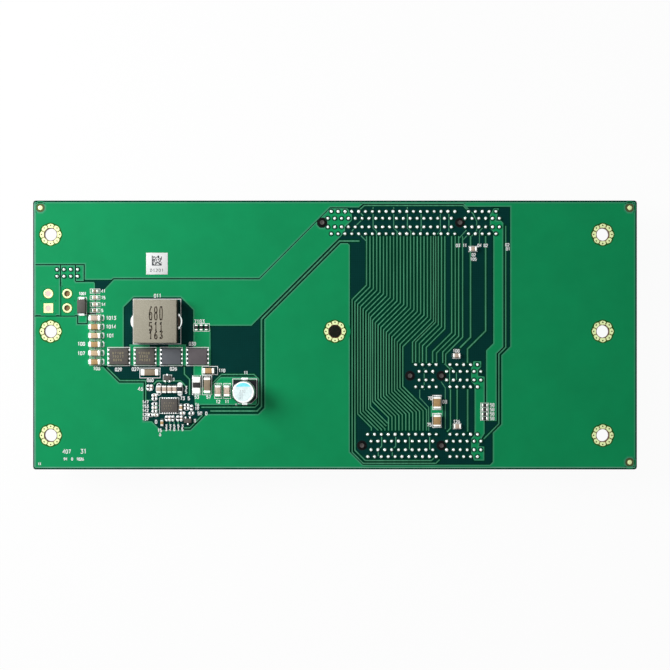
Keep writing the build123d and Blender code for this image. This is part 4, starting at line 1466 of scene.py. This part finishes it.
class Figures:
    """Plain figures, drawn with the single strokes of a board's ink."""

    STROKES: dict[str, tuple[tuple[Point, ...], ...]] = {
        "0": (((0.12, 0), (0.5, 0), (0.62, 0.2), (0.62, 0.8), (0.5, 1), (0.12, 1), (0, 0.8),
               (0, 0.2), (0.12, 0)),),
        "1": (((0.1, 0.8), (0.34, 1), (0.34, 0)),),
        "2": (((0, 0.82), (0.14, 1), (0.48, 1), (0.62, 0.82), (0.62, 0.58), (0, 0), (0.62, 0)),),
        "3": (((0, 1), (0.62, 1), (0.3, 0.6), (0.5, 0.55), (0.62, 0.4), (0.62, 0.16), (0.48, 0),
               (0.12, 0), (0, 0.14)),),
        "4": (((0.48, 0), (0.48, 1), (0, 0.34), (0.64, 0.34)),),
        "5": (((0.6, 1), (0.04, 1), (0, 0.56), (0.46, 0.6), (0.62, 0.44), (0.62, 0.16),
               (0.48, 0), (0.1, 0), (0, 0.12)),),
        "6": (((0.56, 1), (0.2, 0.82), (0, 0.46), (0, 0.16), (0.14, 0), (0.48, 0), (0.62, 0.16),
               (0.62, 0.4), (0.48, 0.55), (0.14, 0.55), (0, 0.4)),),
        "7": (((0, 1), (0.62, 1), (0.24, 0)),),
        "8": (((0.14, 0.54), (0, 0.68), (0, 0.86), (0.14, 1), (0.48, 1), (0.62, 0.86),
               (0.62, 0.68), (0.48, 0.54), (0.14, 0.54), (0, 0.4), (0, 0.14), (0.14, 0),
               (0.48, 0), (0.62, 0.14), (0.62, 0.4), (0.48, 0.54)),),
        "9": (((0.06, 0), (0.42, 0.18), (0.62, 0.54), (0.62, 0.84), (0.48, 1), (0.14, 1),
               (0, 0.84), (0, 0.6), (0.14, 0.45), (0.48, 0.45), (0.62, 0.6)),),
        "+": (((0.31, 0.1), (0.31, 0.9)), ((-0.08, 0.5), (0.7, 0.5))),
    }

    @classmethod
    def write(
        cls,
        shape: Shape,
        text: str,
        place: Point,
        height: float,
        level: float,
        finish: int = 0,
        width: float = 0.16,
        advance: float | None = None,
        thickness: float = 0.008,
        narrow: float = 1.0,
    ) -> None:
        """Write figures in single strokes.

        Args:
            shape: The shape to add to.
            text: The figures.
            place: Left end of the line's foot.
            height: Height of a figure.
            level: Level of the ink's top.
            finish: Index of the finish.
            width: Width of a stroke.
            advance: Distance from one figure to the next, or None for the usual one.
            thickness: Height of the ink.
            narrow: Share of a figure's usual width.
        """
        step = height * 0.86 if advance is None else advance
        for index, character in enumerate(text):
            for stroke in cls.STROKES[character]:
                points = [
                    (place[0] + index * step + x * height * 0.92 * narrow, place[1] + y * height)
                    for x, y in stroke
                ]
                closed = points[0] == points[-1]
                if closed:
                    points.pop()
                shape.ribbon(points, width, level, finish, closed, thickness)


@dataclass
class CanCapacitor(Part):
    """The can capacitor: crimped can on a square base with two lugs.

    Attributes:
        height: Height of its top above the copper.
        corner: Size of the base's two cut corners.
        chord: How far the mark's edge lies from the middle.
        crimp: How far the wall stands in, and its height above the base, from the bottom up.
        rim: How far the rolled rim stands in, and its depth below the top, inwards.
    """

    centre: Point = (-26.3, -16.4)
    radius: float = 3.15
    height: float = 7.7
    base_width: float = 6.6
    base_height: float = 1.2
    corner: float = 1.2
    chord: float = 1.6
    crimp: tuple[Point, ...] = (
        (0.25, 0.0), (0.04, 0.12), (0.0, 0.4), (0.0, 0.8), (0.06, 0.98), (0.2, 1.12),
        (0.24, 1.25), (0.2, 1.38), (0.06, 1.52), (0.0, 1.7),
    )
    rim: tuple[Point, ...] = (
        (0.0, 0.42), (0.05, 0.2), (0.16, 0.05), (0.32, 0.0), (0.42, 0.02), (0.48, 0.06),
    )

    def build(self) -> None:
        """Build the can, its mark, its base and its lugs."""
        self._build_can()
        self._build_base()

    def _build_can(self) -> None:
        """Build the can with its figures, and the mark printed on it."""
        can, mark = Shape(), Shape()
        x, y = self.centre
        low, top = COPPER + self.base_height, COPPER + self.height
        wall = [(self.radius - inset, low + rise) for inset, rise in self.crimp]
        wall += [(self.radius - inset, top - drop) for inset, drop in self.rim]
        can.lathe(wall, self.centre, 96)
        can.lathe([wall[-1], (0.0, wall[-1][1])], self.centre, 96, 1)
        for index, text in enumerate(("330", "35", "41")):
            place = (x - 1.1, y - 0.1 - index * 0.95)
            Figures.write(can, text, place, 0.7, top - 0.055, 2, width=0.12, thickness=0.002)
        finishes = (Palette.CAN, Palette.CAN_TOP, Palette.CAN_PRINT)
        can.piece("can_drawn", Slot.CAN, ["can_capacitor_can"], *finishes, smooth=50)
        reach = self.radius - 0.46
        start = math.asin(self.chord / reach)
        edge = arc(self.centre, (reach, reach), 25, start, math.pi - start)
        mark.prism(edge, top - 0.06, top - 0.045)
        nodes = ["can_capacitor_mark"]
        mark.piece("can_mark_printed", Slot.CAN_INK, nodes, Palette.CAN_INK, smooth=None)

    def _build_base(self) -> None:
        """Build the base, stepped in a little near its top, and the lugs with their solder."""
        base, lugs = Shape(), Shape()
        x, y = self.centre
        half, cut = self.base_width / 2, self.corner
        outline = [
            (x - half + cut, y - half), (x + half - cut, y - half), (x + half, y - half + cut),
            (x + half, y + half), (x - half, y + half), (x - half, y - half + cut),
        ]
        rim = [(x + (px - x) * 0.985, y + (py - y) * 0.985) for px, py in outline]
        step = COPPER + self.base_height * 0.75
        base.prism(outline, COPPER, step)
        base.prism(rim, step, COPPER + self.base_height)
        nodes = ["can_capacitor_base"]
        base.piece("can_base_moulded", Slot.RESIN, nodes, Palette.BASE, smooth=30)
        for side, width in ((-1, 1.5), (1, 1.9)):
            lug, solder = (x, y + side * (half + 0.1)), (x, y + side * (half + 0.3))
            lugs.box(lug, (0.9, 1.0), COPPER, COPPER + 0.24, 0.07)
            lugs.box(solder, (width, 0.72), COPPER, COPPER + 0.16, 0.07, 1)
        nodes = ["can_capacitor_terminals"]
        lugs.piece("can_lugs_flat", Slot.LUG, nodes, Palette.LUG, Palette.SOLDER, smooth=40)


@dataclass(frozen=True)
class Chip:
    """A two-ended chip part. It lies along X, or along Y when it is upright."""

    x: float
    y: float
    length: float
    width: float
    height: float
    end: float
    finish: Finish = Palette.TAN
    upright: bool = False

    def size(self, along: float, across: float) -> Point:
        """Turn a size along and across the chip into one in X and Y."""
        return (across, along) if self.upright else (along, across)

    def place(self, along: float, across: float = 0.0) -> Point:
        """Turn a place along and across the chip into one in X and Y."""
        x, y = self.size(along, across)
        return (self.x + x, self.y + y)


@dataclass
class ChipParts(Part):
    """All two-ended chips, with bodies, metal ends and the solder at each end.

    The four sizes are the length, width, height and end of a chip.
    """

    large: tuple[float, ...] = (3.2, 1.6, 1.5, 0.65)
    middle: tuple[float, ...] = (2.1, 1.25, 1.1, 0.5)
    small: tuple[float, ...] = (1.65, 0.85, 0.7, 0.4)
    tiny: tuple[float, ...] = (1.05, 0.55, 0.45, 0.28)
    tiny_lying: tuple[Point, ...] = (
        (-52.6, -17.6), (-52.6, -18.6), (-52.6, -20.1), (-52.6, -21.2), (-52.6, -22.2),
        (-53.7, -23.3), (-52.2, -23.3), (-43.25, -20.5), (-43.25, -21.4), (-44.4, -22.8),
        (-41.85, -22.85),
    )
    tiny_upright: tuple[Point, ...] = (
        (-49.05, -24.3), (-48.2, -24.3), (-47.25, -24.3), (-45.8, -24.3), (-44.8, -24.3),
        (-41.8, -21.2), (-54.5, -15.3), (-53.5, -15.3),
    )

    def build(self) -> None:
        """Build every family of chips."""
        pink, amber, tan = Palette.PINK, Palette.AMBER, Palette.TAN
        brown, dark = Palette.BROWN, Palette.DARK
        large, middle, small = self.large, self.middle, self.small
        inputs = [
            Chip(-69.9, 4.95 - 2.55 * index, *large, finish)
            for index, finish in enumerate((pink, amber, tan, amber, tan, amber))
        ]
        for number, chip in enumerate(inputs, start=1):
            self._build_bodies(f"input_capacitor_{number}", Slot.TAN, [chip])
        self._build_ends("input_capacitor_ends", inputs)
        ceramic = [
            Chip(-36.75, -10.4, *large, amber), Chip(-34.05, -16.25, *large, pink, True),
            Chip(-31.45, -16.25, *large, pink, True),
            Chip(-37.2, -14.6, 4.5, 1.9, 1.7, 0.75, brown, True),
            Chip(29.7, -19.66, 3.3, 2.1, 1.6, 0.55, amber, True),
            Chip(29.7, -24.93, 3.3, 2.1, 1.6, 0.55, amber, True), Chip(40.2, 25.05, *middle, pink),
            Chip(35.4, -5.96, *middle, pink), Chip(35.6, -26.58, *middle, pink),
            *(Chip(x, -15.8, *middle, pink, True) for x in (-51.3, -49.7, -48.15, -46.7)),
            Chip(-50.4, -25.6, *small, amber, True), Chip(-44.9, -21.1, *small, tan, True),
            Chip(-69.9, 12.8, *small, brown), Chip(-69.9, 8.9, *small, pink),
        ]
        sensing = [
            Chip(-53.9, -10.85, 5.0, 1.85, 0.8, 1.0, brown),
            Chip(-40.35, -14.6, 5.0, 2.1, 0.8, 1.8, dark, True),
        ]
        resistors = [
            Chip(-45.2, -15.75, *middle, dark, True), Chip(-69.9, 10.9, *small, pink),
            Chip(-69.9, 7.15, *small, brown),
            *(Chip(-40.4 + number * 1.45, 2.2, *small, dark, True) for number in range(3)),
            *(Chip(43.6, -24.33 + number * 1.3, *small, dark) for number in range(4)),
        ]
        for name, slot, chips in (
            ("ceramic_capacitor", Slot.TAN, ceramic),
            ("sense_resistor", Slot.DARK, sensing),
            ("chip_resistor", Slot.DARK, resistors),
        ):
            self._build_ends(f"{name}_ends", chips)
            self._build_bodies(f"{name}s", slot, chips)
        self._build_tiny()

    @staticmethod
    def _build_bodies(node: str, slot: Slot, chips: Sequence[Chip]) -> None:
        """Build the bodies of some chips as one piece.

        Args:
            node: CAD node that they stand for.
            slot: Material slot of their finish.
            chips: The chips.
        """
        shape = Shape()
        finishes = list(dict.fromkeys(chip.finish for chip in chips))
        for chip in chips:
            size = chip.size(chip.length - chip.end, chip.width * 0.95)
            high = COPPER + chip.height * 0.96
            finish = finishes.index(chip.finish)
            shape.box(chip.place(0), size, COPPER + 0.05, high, 0.08, finish)
        shape.piece(f"{node}_fired", slot, [node], *finishes, smooth=40)

    @staticmethod
    def _build_ends(node: str, chips: Sequence[Chip]) -> None:
        """Build the metal ends of some chips, with the solder that climbs up each.

        Args:
            node: CAD node that they stand for.
            chips: The chips.
        """
        shape = Shape()
        for chip in chips:
            size, high = chip.size(chip.end * 0.98, chip.width), COPPER + chip.height
            half, reach = chip.width * 0.47, min(0.35, chip.height * 0.4)
            slope = (
                (0.0, chip.height * 0.62), (reach * 0.35, chip.height * 0.3), (reach, 0.02),
                (reach, 0.0), (0.0, 0.0),
            )
            for side in (-1, 1):
                middle = chip.place(side * (chip.length - chip.end) / 2)
                shape.box(middle, size, COPPER, high, min(0.14, chip.end * 0.3), 0, 3)
                sides = [], []
                for out, level in slope:
                    for column, across in zip(sides, (-half, half)):
                        place = chip.place(side * (chip.length / 2 + out), across)
                        column += shape.row([place], COPPER + level)
                faces = shape.skin(*sides)
                faces += [shape.mesh.faces.new(column) for column in sides]
                bmesh.ops.recalc_face_normals(shape.mesh, faces=faces)
                paint(faces, 1)
        finishes = (Palette.END, Palette.SOLDER)
        shape.piece(f"{node}_soldered", Slot.SOLDER, [node], *finishes, smooth=40)

    def _build_tiny(self) -> None:
        """Build the smallest chips, each with its ends and the ring of ink round it."""
        shape = Shape()
        chips = [Chip(x, y, *self.tiny) for x, y in self.tiny_lying]
        chips += [Chip(x, y, *self.tiny, upright=True) for x, y in self.tiny_upright]
        for number, chip in enumerate(chips):
            size = chip.size(0.42, 0.62)
            for side in (-1, 1):
                shape.box(chip.place(side * 0.44), size, COPPER, COPPER + 0.44, 0.1)
            low, high = COPPER + 0.02, COPPER + 0.42
            shape.box(chip.place(0), (0.5, 0.5), low, high, 0.04, 1 if number % 3 else 2)
            ring = [chip.place(x, y) for x, y in arc((0.0, 0.0), (0.86, 0.5), 20)]
            shape.ribbon(ring[::-1] if chip.upright else ring, 0.13, low, 3, True)
        finishes = (Palette.SOLDER, Palette.DARK, Palette.PINK, Palette.INK)
        shape.piece("tiny_chips_soldered", Slot.SOLDER, ["tiny_chips"], *finishes, smooth=40)


@dataclass
class PowerStage(Part):
    """Moulded parts: four power transistors, controller, surge diode and small transistors.

    Attributes:
        small: Small transistors: place and the side with two legs.
    """

    transistor_xs: tuple[float, ...] = (-62.95, -55.3, -47.65, -40.0)
    transistor_y: float = -6.25
    transistor_size: Point = (5.7, 4.9)
    lead_pitch: float = 1.27
    controller: Point = (-48.3, -20.6)
    diode: Point = (-73.7, 8.35)
    small: tuple[tuple[float, float, int], ...] = ((-48.85, -12.55, -1), (-42.9, -25.0, 1))

    def build(self) -> None:
        """Build every moulded part."""
        marks = random.Random(11)
        resins = (Palette.RESIN, Palette.RESIN, Palette.BLUE_RESIN, Palette.PLUM_RESIN)
        for number, (x, resin) in enumerate(zip(self.transistor_xs, resins), start=1):
            body, centre = Shape(), (x, self.transistor_y)
            low, top = COPPER + 0.02, COPPER + 1.05
            body.box(centre, self.transistor_size, low, top, 0.08, top_inset=0.14)
            if number < 3:
                self._add_marking(body, centre, (3.6, 3.0), top, marks, 0.15)
            name = f"power_transistor_{number}"
            body.piece(f"{name}_moulded", Slot.RESIN, [name], resin, Palette.MARKING)
        lead = Shape()
        lead.box((0, 0), (0.62, 0.55), 0.0, 0.27, 0.07)
        places = [
            (x + side * 2.96, self.transistor_y + (row - 1.5) * self.lead_pitch, COPPER)
            for x in self.transistor_xs
            for side in (-1, 1)
            for row in range(4)
        ]
        self.copies.stand(
            "power_transistor_leads_bent", lead, places, Palette.SOLDER, Slot.LUG,
            ["power_transistor_leads"], 5, spin=4, scales=(0.92, 1.0),
        )
        self._build_others(marks)

    @staticmethod
    def _add_marking(
        shape: Shape, centre: Point, size: Point, top: float, marks: random.Random, stroke: float
    ) -> None:
        """Add three lines of random plain figures.

        Args:
            shape: The shape to add to.
            centre: Middle of the marking.
            size: Its width and height.
            top: Level of the surface.
            marks: Source of the random figures.
            stroke: Width of a stroke.
        """
        pitch = size[1] / 3
        for line in range(3):
            count = marks.choice((4, 5, 5))
            text = "".join(marks.choice("0123456789") for _ in range(count))
            x = centre[0] - size[0] / 2 + marks.uniform(0, 0.3)
            y = centre[1] + size[1] / 2 - (line + 0.8) * pitch
            Figures.write(
                shape, text, (x, y), pitch * 0.55, top + 0.006, 1, width=stroke,
                advance=size[0] / 5.2, thickness=0.004,
            )

    def _build_others(self, marks: random.Random) -> None:
        """Build the controller, the surge diode and the small transistors.

        A box in the lists is its middle, its size, its lowest and highest level above the
        copper, the radius of its edges and how far its top's sides stand in.

        Args:
            marks: Source of the random figures.
        """
        body = [(self.controller, (5.0, 3.9), 0.05, 1.0, 0.07, 0.1)]
        x, y = self.controller
        leads = [
            ((x + column * 0.65, y + side), (0.3, 0.5), 0, 0.19, 0.05, 0)
            for column in range(-3, 4)
            for side in (-2.15, 2.15)
        ]
        diode = [(self.diode, (2.6, 4.1), 0.1, 2.1, 0.1, 0.16)]
        x, y = self.diode
        lugs = [
            ((x, y + side * offset), (1.5, width), 0, height, 0.1, 0)
            for side in (-1, 1)
            for offset, width, height in ((2.3, 0.9, 0.35), (2.1, 0.3, 1.1))
        ]
        small = [((x, y), (2.3, 1.3), 0.04, 1.0, 0.08, 0.08) for x, y, _ in self.small]
        legs = [
            ((x + step, y + side * pair * 0.9), (0.42, 0.6), 0, 0.25, 0.06, 0)
            for x, y, pair in self.small
            for step, side in ((0.0, -1), (-0.65, 1), (0.65, 1))
        ]
        resin, solder = (Palette.RESIN,), (Palette.SOLDER,)
        for name, slot, node, finishes, boxes in (
            ("controller_moulded", Slot.RESIN, "controller_chip", (*resin, Palette.MARKING), body),
            ("controller_leads_bent", Slot.LUG, "controller_leads", solder, leads),
            ("surge_diode_moulded", Slot.RESIN, "surge_diode_body", resin, diode),
            ("surge_diode_lugs_bent", Slot.LUG, "surge_diode_terminals", (Palette.LUG,), lugs),
            ("small_transistors_moulded", Slot.RESIN, "small_transistor_bodies", resin, small),
            ("small_transistor_legs_bent", Slot.LUG, "small_transistor_legs", solder, legs),
        ):
            shape = Shape()
            for place, size, low, high, bevel, inset in boxes:
                shape.box(place, size, COPPER + low, COPPER + high, bevel, top_inset=inset)
            if boxes is body:
                self._add_marking(shape, self.controller, (3.4, 2.4), COPPER + 1.0, marks, 0.07)
            smooth = 35.0 if slot is Slot.RESIN else 40.0
            shape.piece(name, slot, [node], *finishes, smooth=smooth)


@dataclass
class CodeLabel(Part):
    """The stuck-on label with a plain pattern of dots and a row of figures.

    Attributes:
        cells: Cells along a side of the dot pattern.
        cell: Width of a cell.
    """

    centre: Point = (-51.9, 20.8)
    size: Point = (6.3, 6.35)
    cells: int = 12
    cell: float = 0.24

    def build(self) -> None:
        """Build the film, the dots and the figures."""
        film, dot = Shape(), Shape()
        x, y = self.centre
        top = COPPER + 0.1
        film.box(self.centre, self.size, COPPER, top, 0.03)
        Figures.write(
            film, "01201", (x - 1.9, y - 2.35), 0.8, top + 0.004, 1, width=0.13, advance=0.82,
            thickness=0.003,
        )
        finishes = (Palette.FILM, Palette.PRINT)
        film.piece("code_label_film", Slot.LABEL, ["code_label"], *finishes)
        chance = random.Random(5)
        places = []
        for row in range(self.cells):
            for column in range(self.cells):
                edge = row == self.cells - 1 or column == 0
                if edge or chance.random() < 0.5:
                    place = (x - 1.35 + column * self.cell, y + 2.2 - row * self.cell, top + 0.001)
                    places.append(place)
        dot.box((0, 0), (self.cell, self.cell), 0.0, 0.004)
        self.copies.stand("code_label_dots", dot, places, Palette.PRINT, Slot.LABEL)


@dataclass
class Silkscreen(Part):
    """White ink on the soldered side: outlines of the parts and plain figures beside them.

    Attributes:
        stroke: Width of a figure's stroke.
        boxes: Left, lower, right and upper edge of each outline, and its line's width.
        texts: Plain figures with their left end, foot and height.
        chip_rows: Middles of four chips in a column with the figures beside them.
    """

    level: float = COPPER + 0.03
    stroke: float = 0.21
    shape: Shape = field(default_factory=Shape)
    boxes: tuple[tuple[float, float, float, float, float], ...] = (
        (-74.85, 5.9, -72.4, 11.0, 0.14), (-58.8, -2.6, -44.95, 10.45, 0.2),
        (-41.2, 1.1, -36.6, 3.3, 0.16), (-56.9, -12.5, -50.95, -9.65, 0.16),
        (-50.05, -13.45, -47.6, -11.65, 0.14), (-51.15, -22.85, -45.5, -18.3, 0.14),
        (-41.55, -17.4, -39.15, -11.85, 0.16), (-38.65, -17.4, -35.95, -11.85, 0.16),
        (-38.75, -11.55, -34.2, -9.15, 0.16), (-35.1, -18.5, -33.0, -14.1, 0.14),
        (-32.45, -18.5, -30.4, -14.1, 0.14), (38.95, 24.3, 41.45, 25.85, 0.14),
        (34.35, -6.85, 36.5, -5.4, 0.14), (34.5, -27.35, 36.7, -25.9, 0.14),
        (28.45, -21.75, 30.95, -17.6, 0.16), (28.45, -26.95, 30.95, -22.85, 0.16),
    )
    texts: tuple[tuple[str, float, float, float], ...] = (
        ("1001", -74.7, 11.6, 0.86), ("1013", -66.75, 4.4, 1.1), ("1014", -66.75, 1.85, 1.1),
        ("101", -66.6, -0.75, 1.1), ("108", -75.05, -3.15, 1.1), ("107", -75.05, -5.9, 1.1),
        ("106", -70.5, -10.3, 1.05), ("011", -52.8, 10.85, 1.1), ("029", -64.15, -10.6, 1.05),
        ("027", -59.25, -10.5, 1.05), ("026", -48.15, -10.4, 1.05), ("030", -42.6, -3.1, 1.05),
        ("7183", -41.1, 3.35, 1.15), ("060", -54.85, -13.7, 1.0), ("46", -57.45, -16.3, 1.15),
        ("12", -55.0, -16.3, 1.15), ("73", -45.15, -19.0, 1.05), ("5", -42.95, -19.0, 1.05),
        ("16", -40.85, -20.85, 0.95), ("19", -40.85, -21.95, 0.95), ("59", -40.1, -23.4, 1.05),
        ("0", -37.85, -23.4, 1.05), ("8", -41.15, -25.5, 1.0), ("15", -51.75, -28.3, 1.0),
        ("6", -51.3, -29.5, 1.0), ("0", -52.5, -25.85, 1.1), ("3", -43.75, -15.9, 1.0),
        ("5", -43.75, -17.1, 1.0), ("8", -47.35, -13.4, 0.9), ("110", -33.95, -10.9, 1.0),
        ("53", -40.95, -18.6, 1.0), ("57", -37.5, -18.6, 1.0), ("12", -34.75, -19.95, 1.0),
        ("11", -32.15, -19.95, 1.0), ("+", -29.1, -20.6, 0.75), ("11", -26.6, -11.5, 0.95),
        ("407", -79.4, -34.6, 1.2), ("31", -74.2, -34.6, 1.35), ("94", -79.1, -36.6, 0.85),
        ("0", -76.9, -36.6, 0.85), ("1026", -75.4, -36.6, 0.85), ("11", -86.6, -38.0, 0.75),
        ("03", 35.2, 25.6, 0.95), ("11", 37.2, 25.6, 0.95), ("04", 41.5, 25.6, 0.95),
        ("82", 43.3, 25.6, 0.95), ("02", 49.6, 25.8, 0.95), ("81", 49.8, 24.6, 0.95),
        ("02", 39.8, 22.9, 0.95), ("105", 39.4, 21.6, 0.95), ("108", 34.35, -5.15, 1.0),
        ("126", 34.45, -25.75, 1.0), ("70", 27.0, -19.0, 1.05), ("75", 26.8, -26.7, 1.05),
        ("08", 31.3, -20.0, 1.05),
    )
    chip_rows: tuple[tuple[float, str], ...] = ((12.8, "41"), (10.9, "15"), (8.9, "14"), (7.15, "5"))
    transistor_xs: tuple[float, ...] = (-62.95, -55.3, -47.65, -40.0)
    base_outline: tuple[Point, ...] = (
        (-29.8, -18.1), (-28.1, -19.9), (-24.4, -19.9), (-22.8, -18.3), (-22.8, -12.8),
        (-29.8, -12.8),
    )

    def build(self) -> None:
        """Draw all the ink, and strips of painted highlight along the board's left and lower edges."""
        for outline in self.boxes:
            self._box(*outline)
        for text in self.texts:
            self._text(*text)
        self._draw_input_side()
        self._draw_converter()
        for number in range(4):
            y = -24.33 + number * 1.3
            self._box(42.45, y - 0.6, 44.75, y + 0.6, 0.1)
            self._text("58", 45.15, y - 0.5, 1.02)
        # Pale strips along the left and lower board edges: painted highlight, not ink.
        high = COPPER + 0.018
        for middle, size in (((-87.5, 0), (0.32, 76.9)), ((0, -38.62), (174.6, 0.22))):
            self.shape.box(middle, size, high - 0.01, high, finish=1)
        self.shape.piece("board_ink", Slot.LABEL, [], Palette.INK, Palette.PAINTED_EDGE_GLINT, smooth=None)

    def _box(self, left: float, bottom: float, right: float, top: float, width: float) -> None:
        """Draw a rectangle with a line of one width round the given edges."""
        corners = [(left, bottom), (right, bottom), (right, top), (left, top)]
        self.shape.ribbon(corners, width, self.level, closed=True)

    def _text(self, text: str, x: float, y: float, height: float) -> None:
        """Write plain figures.

        Args:
            text: The figures.
            x: Left end.
            y: Foot of the line.
            height: Height of a figure with its stroke.
        """
        bare = height - self.stroke * 0.8
        place = (x + self.stroke / 2, y + self.stroke / 2)
        Figures.write(
            self.shape, text, place, bare, self.level, width=self.stroke, advance=bare * 0.8,
            narrow=0.9,
        )

    def _draw_input_side(self) -> None:
        """Draw what stands beside the input capacitors and the chips above them."""
        for y, text in self.chip_rows:
            self._box(-71.35, y - 0.62, -68.5, y + 0.62, 0.14)
            self._text(text, -68.15, y - 0.5, 0.95)
        for number in range(6):
            y = 4.95 - 2.55 * number
            bracket = [(-67.75, 0.85), (-67.42, 0.5), (-67.42, -0.5), (-67.75, -0.85)]
            bar = [(-71.68, 0.62), (-71.68, -0.62)]
            above, below = ([(-71.6, side), (-68.1, side)] for side in (1.08, -1.08))
            for line, width in ((bracket, 0.36), (bar, 0.5), (above, 0.09), (below, 0.09)):
                points = [(x, y + offset) for x, offset in line]
                self.shape.ribbon(points, width, self.level)

    def _draw_converter(self) -> None:
        """Draw what repeats round the transistors, the controller and the can."""
        for x in self.transistor_xs:
            self._box(x - 3.3, -8.95, x + 3.15, -3.6, 0.16)
        for number, text in enumerate(("147", "153", "142", "128", "137")):
            self._text(text, -56.2, -20.05 - number * 1.22, 0.95)
        for number, text in enumerate(("33", "34", "50", "51", "35")):
            for row, figure in enumerate(text):
                self._text(figure, -49.5 + number * 1.18, -27.0 - row, 0.9)
        for x in (-51.3, -45.2):
            ring = arc((x, -15.8), (0.85, 1.75), 24)
            self.shape.ribbon(ring, 0.16, self.level, closed=True)
        for y in (-14.55, -17.0):
            self.shape.disc((-45.2, y), 0.78, self.level - 0.008)
        self.shape.ribbon(self.base_outline, 0.2, self.level, closed=True)
        self.shape.ribbon([(-41.0, -15.15), (-39.8, -14.1)], 0.3, self.level)


@dataclass
class Stage(Part):
    """Floor, lamps, world and camera at the photograph's angle.

    Attributes:
        height: Camera's height above the board.
        span: Width of the view at the board.
        board_edges: How far the floor's shadow reaches along X and Y.
        shadow_edge: Where the shadow's soft edge begins and ends, inside that reach.
        floor_glow: Glow of the open floor as the camera or a gloss sees it.
        bounce_glow: Glow of the whole floor as other surfaces see it.
        soft_light: Strength of the world's light on surfaces.
        lamps: Name, place, width and power in watts of each lamp.
    """

    height: float = 450.0
    span: float = 195.3
    floor_half: float = 2500.0
    floor_level: float = -0.1
    board_edges: Point = (80.0, 39.2)
    shadow_edge: Point = (1.0, 24.0)
    shadow_paint: Colour = (0.6, 0.24, 0.3, 1.0)
    floor_paint: Colour = (0.9, 0.9, 0.9, 1.0)
    floor_glow: float = 0.95
    bounce_glow: float = 0.3
    soft_light: float = 0.16
    lamps: tuple[tuple[str, Place, float, float], ...] = (
        ("key lamp", (-290.0, 115.0, 240.0), 200.0, 1.3),
        ("top lamp", (-60.0, 40.0, 430.0), 420.0, 0.34),
    )

    def build(self) -> None:
        """Build the stage."""
        self._build_floor()
        self._build_world()
        self._build_lamps()
        camera = place_object("camera", bpy.data.cameras.new("camera"))
        camera.location = (0.0, 0.0, (COPPER + self.height) * MM)
        camera.data.sensor_fit = "HORIZONTAL"
        camera.data.angle = 2 * math.atan(self.span / 2 / self.height)
        camera.data.clip_start = 0.01
        bpy.context.scene.camera = camera

    def _build_lamps(self) -> None:
        """Build square lamps that point at the board's middle."""
        for name, place, size, power in self.lamps:
            data = bpy.data.lights.new(name, "AREA")
            data.shape = "SQUARE"
            data.size = size * MM
            data.energy = power
            lamp = place_object(name, data)
            lamp.location = [part * MM for part in place]
            aim = Vector((0, 0, 0.013)) - lamp.location
            lamp.rotation_euler = aim.to_track_quat("-Z", "Y").to_euler()

    def _build_floor(self) -> None:
        """Build a white floor that darkens softly under the board and is clear from below."""
        half, level = self.floor_half * MM, self.floor_level * MM
        data = bpy.data.meshes.new("floor")
        signs = ((-1, -1), (1, -1), (1, 1), (-1, 1))
        data.from_pydata([(x * half, y * half, level) for x, y in signs], [], [(0, 1, 2, 3)])
        floor = place_object("floor", data)
        material = bpy.data.materials.new("studio floor")
        material.use_nodes = True
        graph = Graph(material.node_tree)
        add, join = graph.add, graph.join
        seen, path = graph.seen()
        vector = add("ShaderNodeTexCoord").outputs["Object"]
        place = add("ShaderNodeSeparateXYZ", {"Vector": vector}).outputs
        from_edges = [
            join("SUBTRACT", edge * MM, join("ABSOLUTE", place[axis]))
            for axis, edge in zip("XY", self.board_edges)
        ]
        open_sky = add("ShaderNodeMapRange", {
            "Value": join("MINIMUM", *from_edges),
            "From Min": self.shadow_edge[0] * MM,
            "From Max": self.shadow_edge[1] * MM,
            "To Min": 1.0,
            "To Max": 0.0,
        }, interpolation_type="SMOOTHERSTEP").outputs["Result"]
        colour = graph.blend(open_sky, self.shadow_paint, self.floor_paint)
        shown = join("MULTIPLY", join("MULTIPLY", seen, open_sky), self.floor_glow)
        bounced = join("MULTIPLY", path["Is Diffuse Ray"], self.bounce_glow)
        upper = add("ShaderNodeMixShader", {
            0: join("MAXIMUM", shown, bounced),
            1: add("ShaderNodeBsdfDiffuse", {"Color": colour}).outputs[0],
            2: add("ShaderNodeEmission", {"Strength": 1.0}).outputs[0],
        })
        both = add("ShaderNodeMixShader", {
            0: add("ShaderNodeNewGeometry").outputs["Backfacing"],
            1: upper.outputs[0],
            2: add("ShaderNodeBsdfTransparent").outputs[0],
        })
        add("ShaderNodeOutputMaterial", {"Surface": both.outputs[0]})
        data.materials.append(material)

    def _build_world(self) -> None:
        """Build a world that looks white and lights the surfaces softly."""
        world = bpy.data.worlds.new("studio")
        bpy.context.scene.world = world
        world.use_nodes = True
        graph = Graph(world.node_tree)
        seen, path = graph.seen()
        soft, white = (
            graph.add("ShaderNodeBackground", {"Color": WHITE, "Strength": strength}).outputs[0]
            for strength in (self.soft_light, 1.0)
        )
        clear = graph.join("MAXIMUM", seen, path["Is Transmission Ray"])
        mix = graph.add("ShaderNodeMixShader", {0: clear, 1: soft, 2: white})
        graph.add("ShaderNodeOutputWorld", {"Surface": mix.outputs[0]})


def main() -> None:
    """Build the scene around the frame."""
    logging.basicConfig(level=logging.INFO, format="%(message)s")
    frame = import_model()
    nodes = frame["nodes"]
    bpy.context.scene.view_settings.view_transform = "Standard"
    copies = Copies()
    laminate = nodes["laminate"]
    laminate.data.materials.clear()
    laminate.data.materials.append(Palette.LAMINATE.material())
    parts = (
        CopperLayer, BareMetal, CardSockets, PinHeader, Inductor, CanCapacitor, ChipParts,
        PowerStage, CodeLabel, Silkscreen, Stage,
    )
    for part in parts:
        part(nodes, copies).build()


if __name__ == "__main__":
    main()
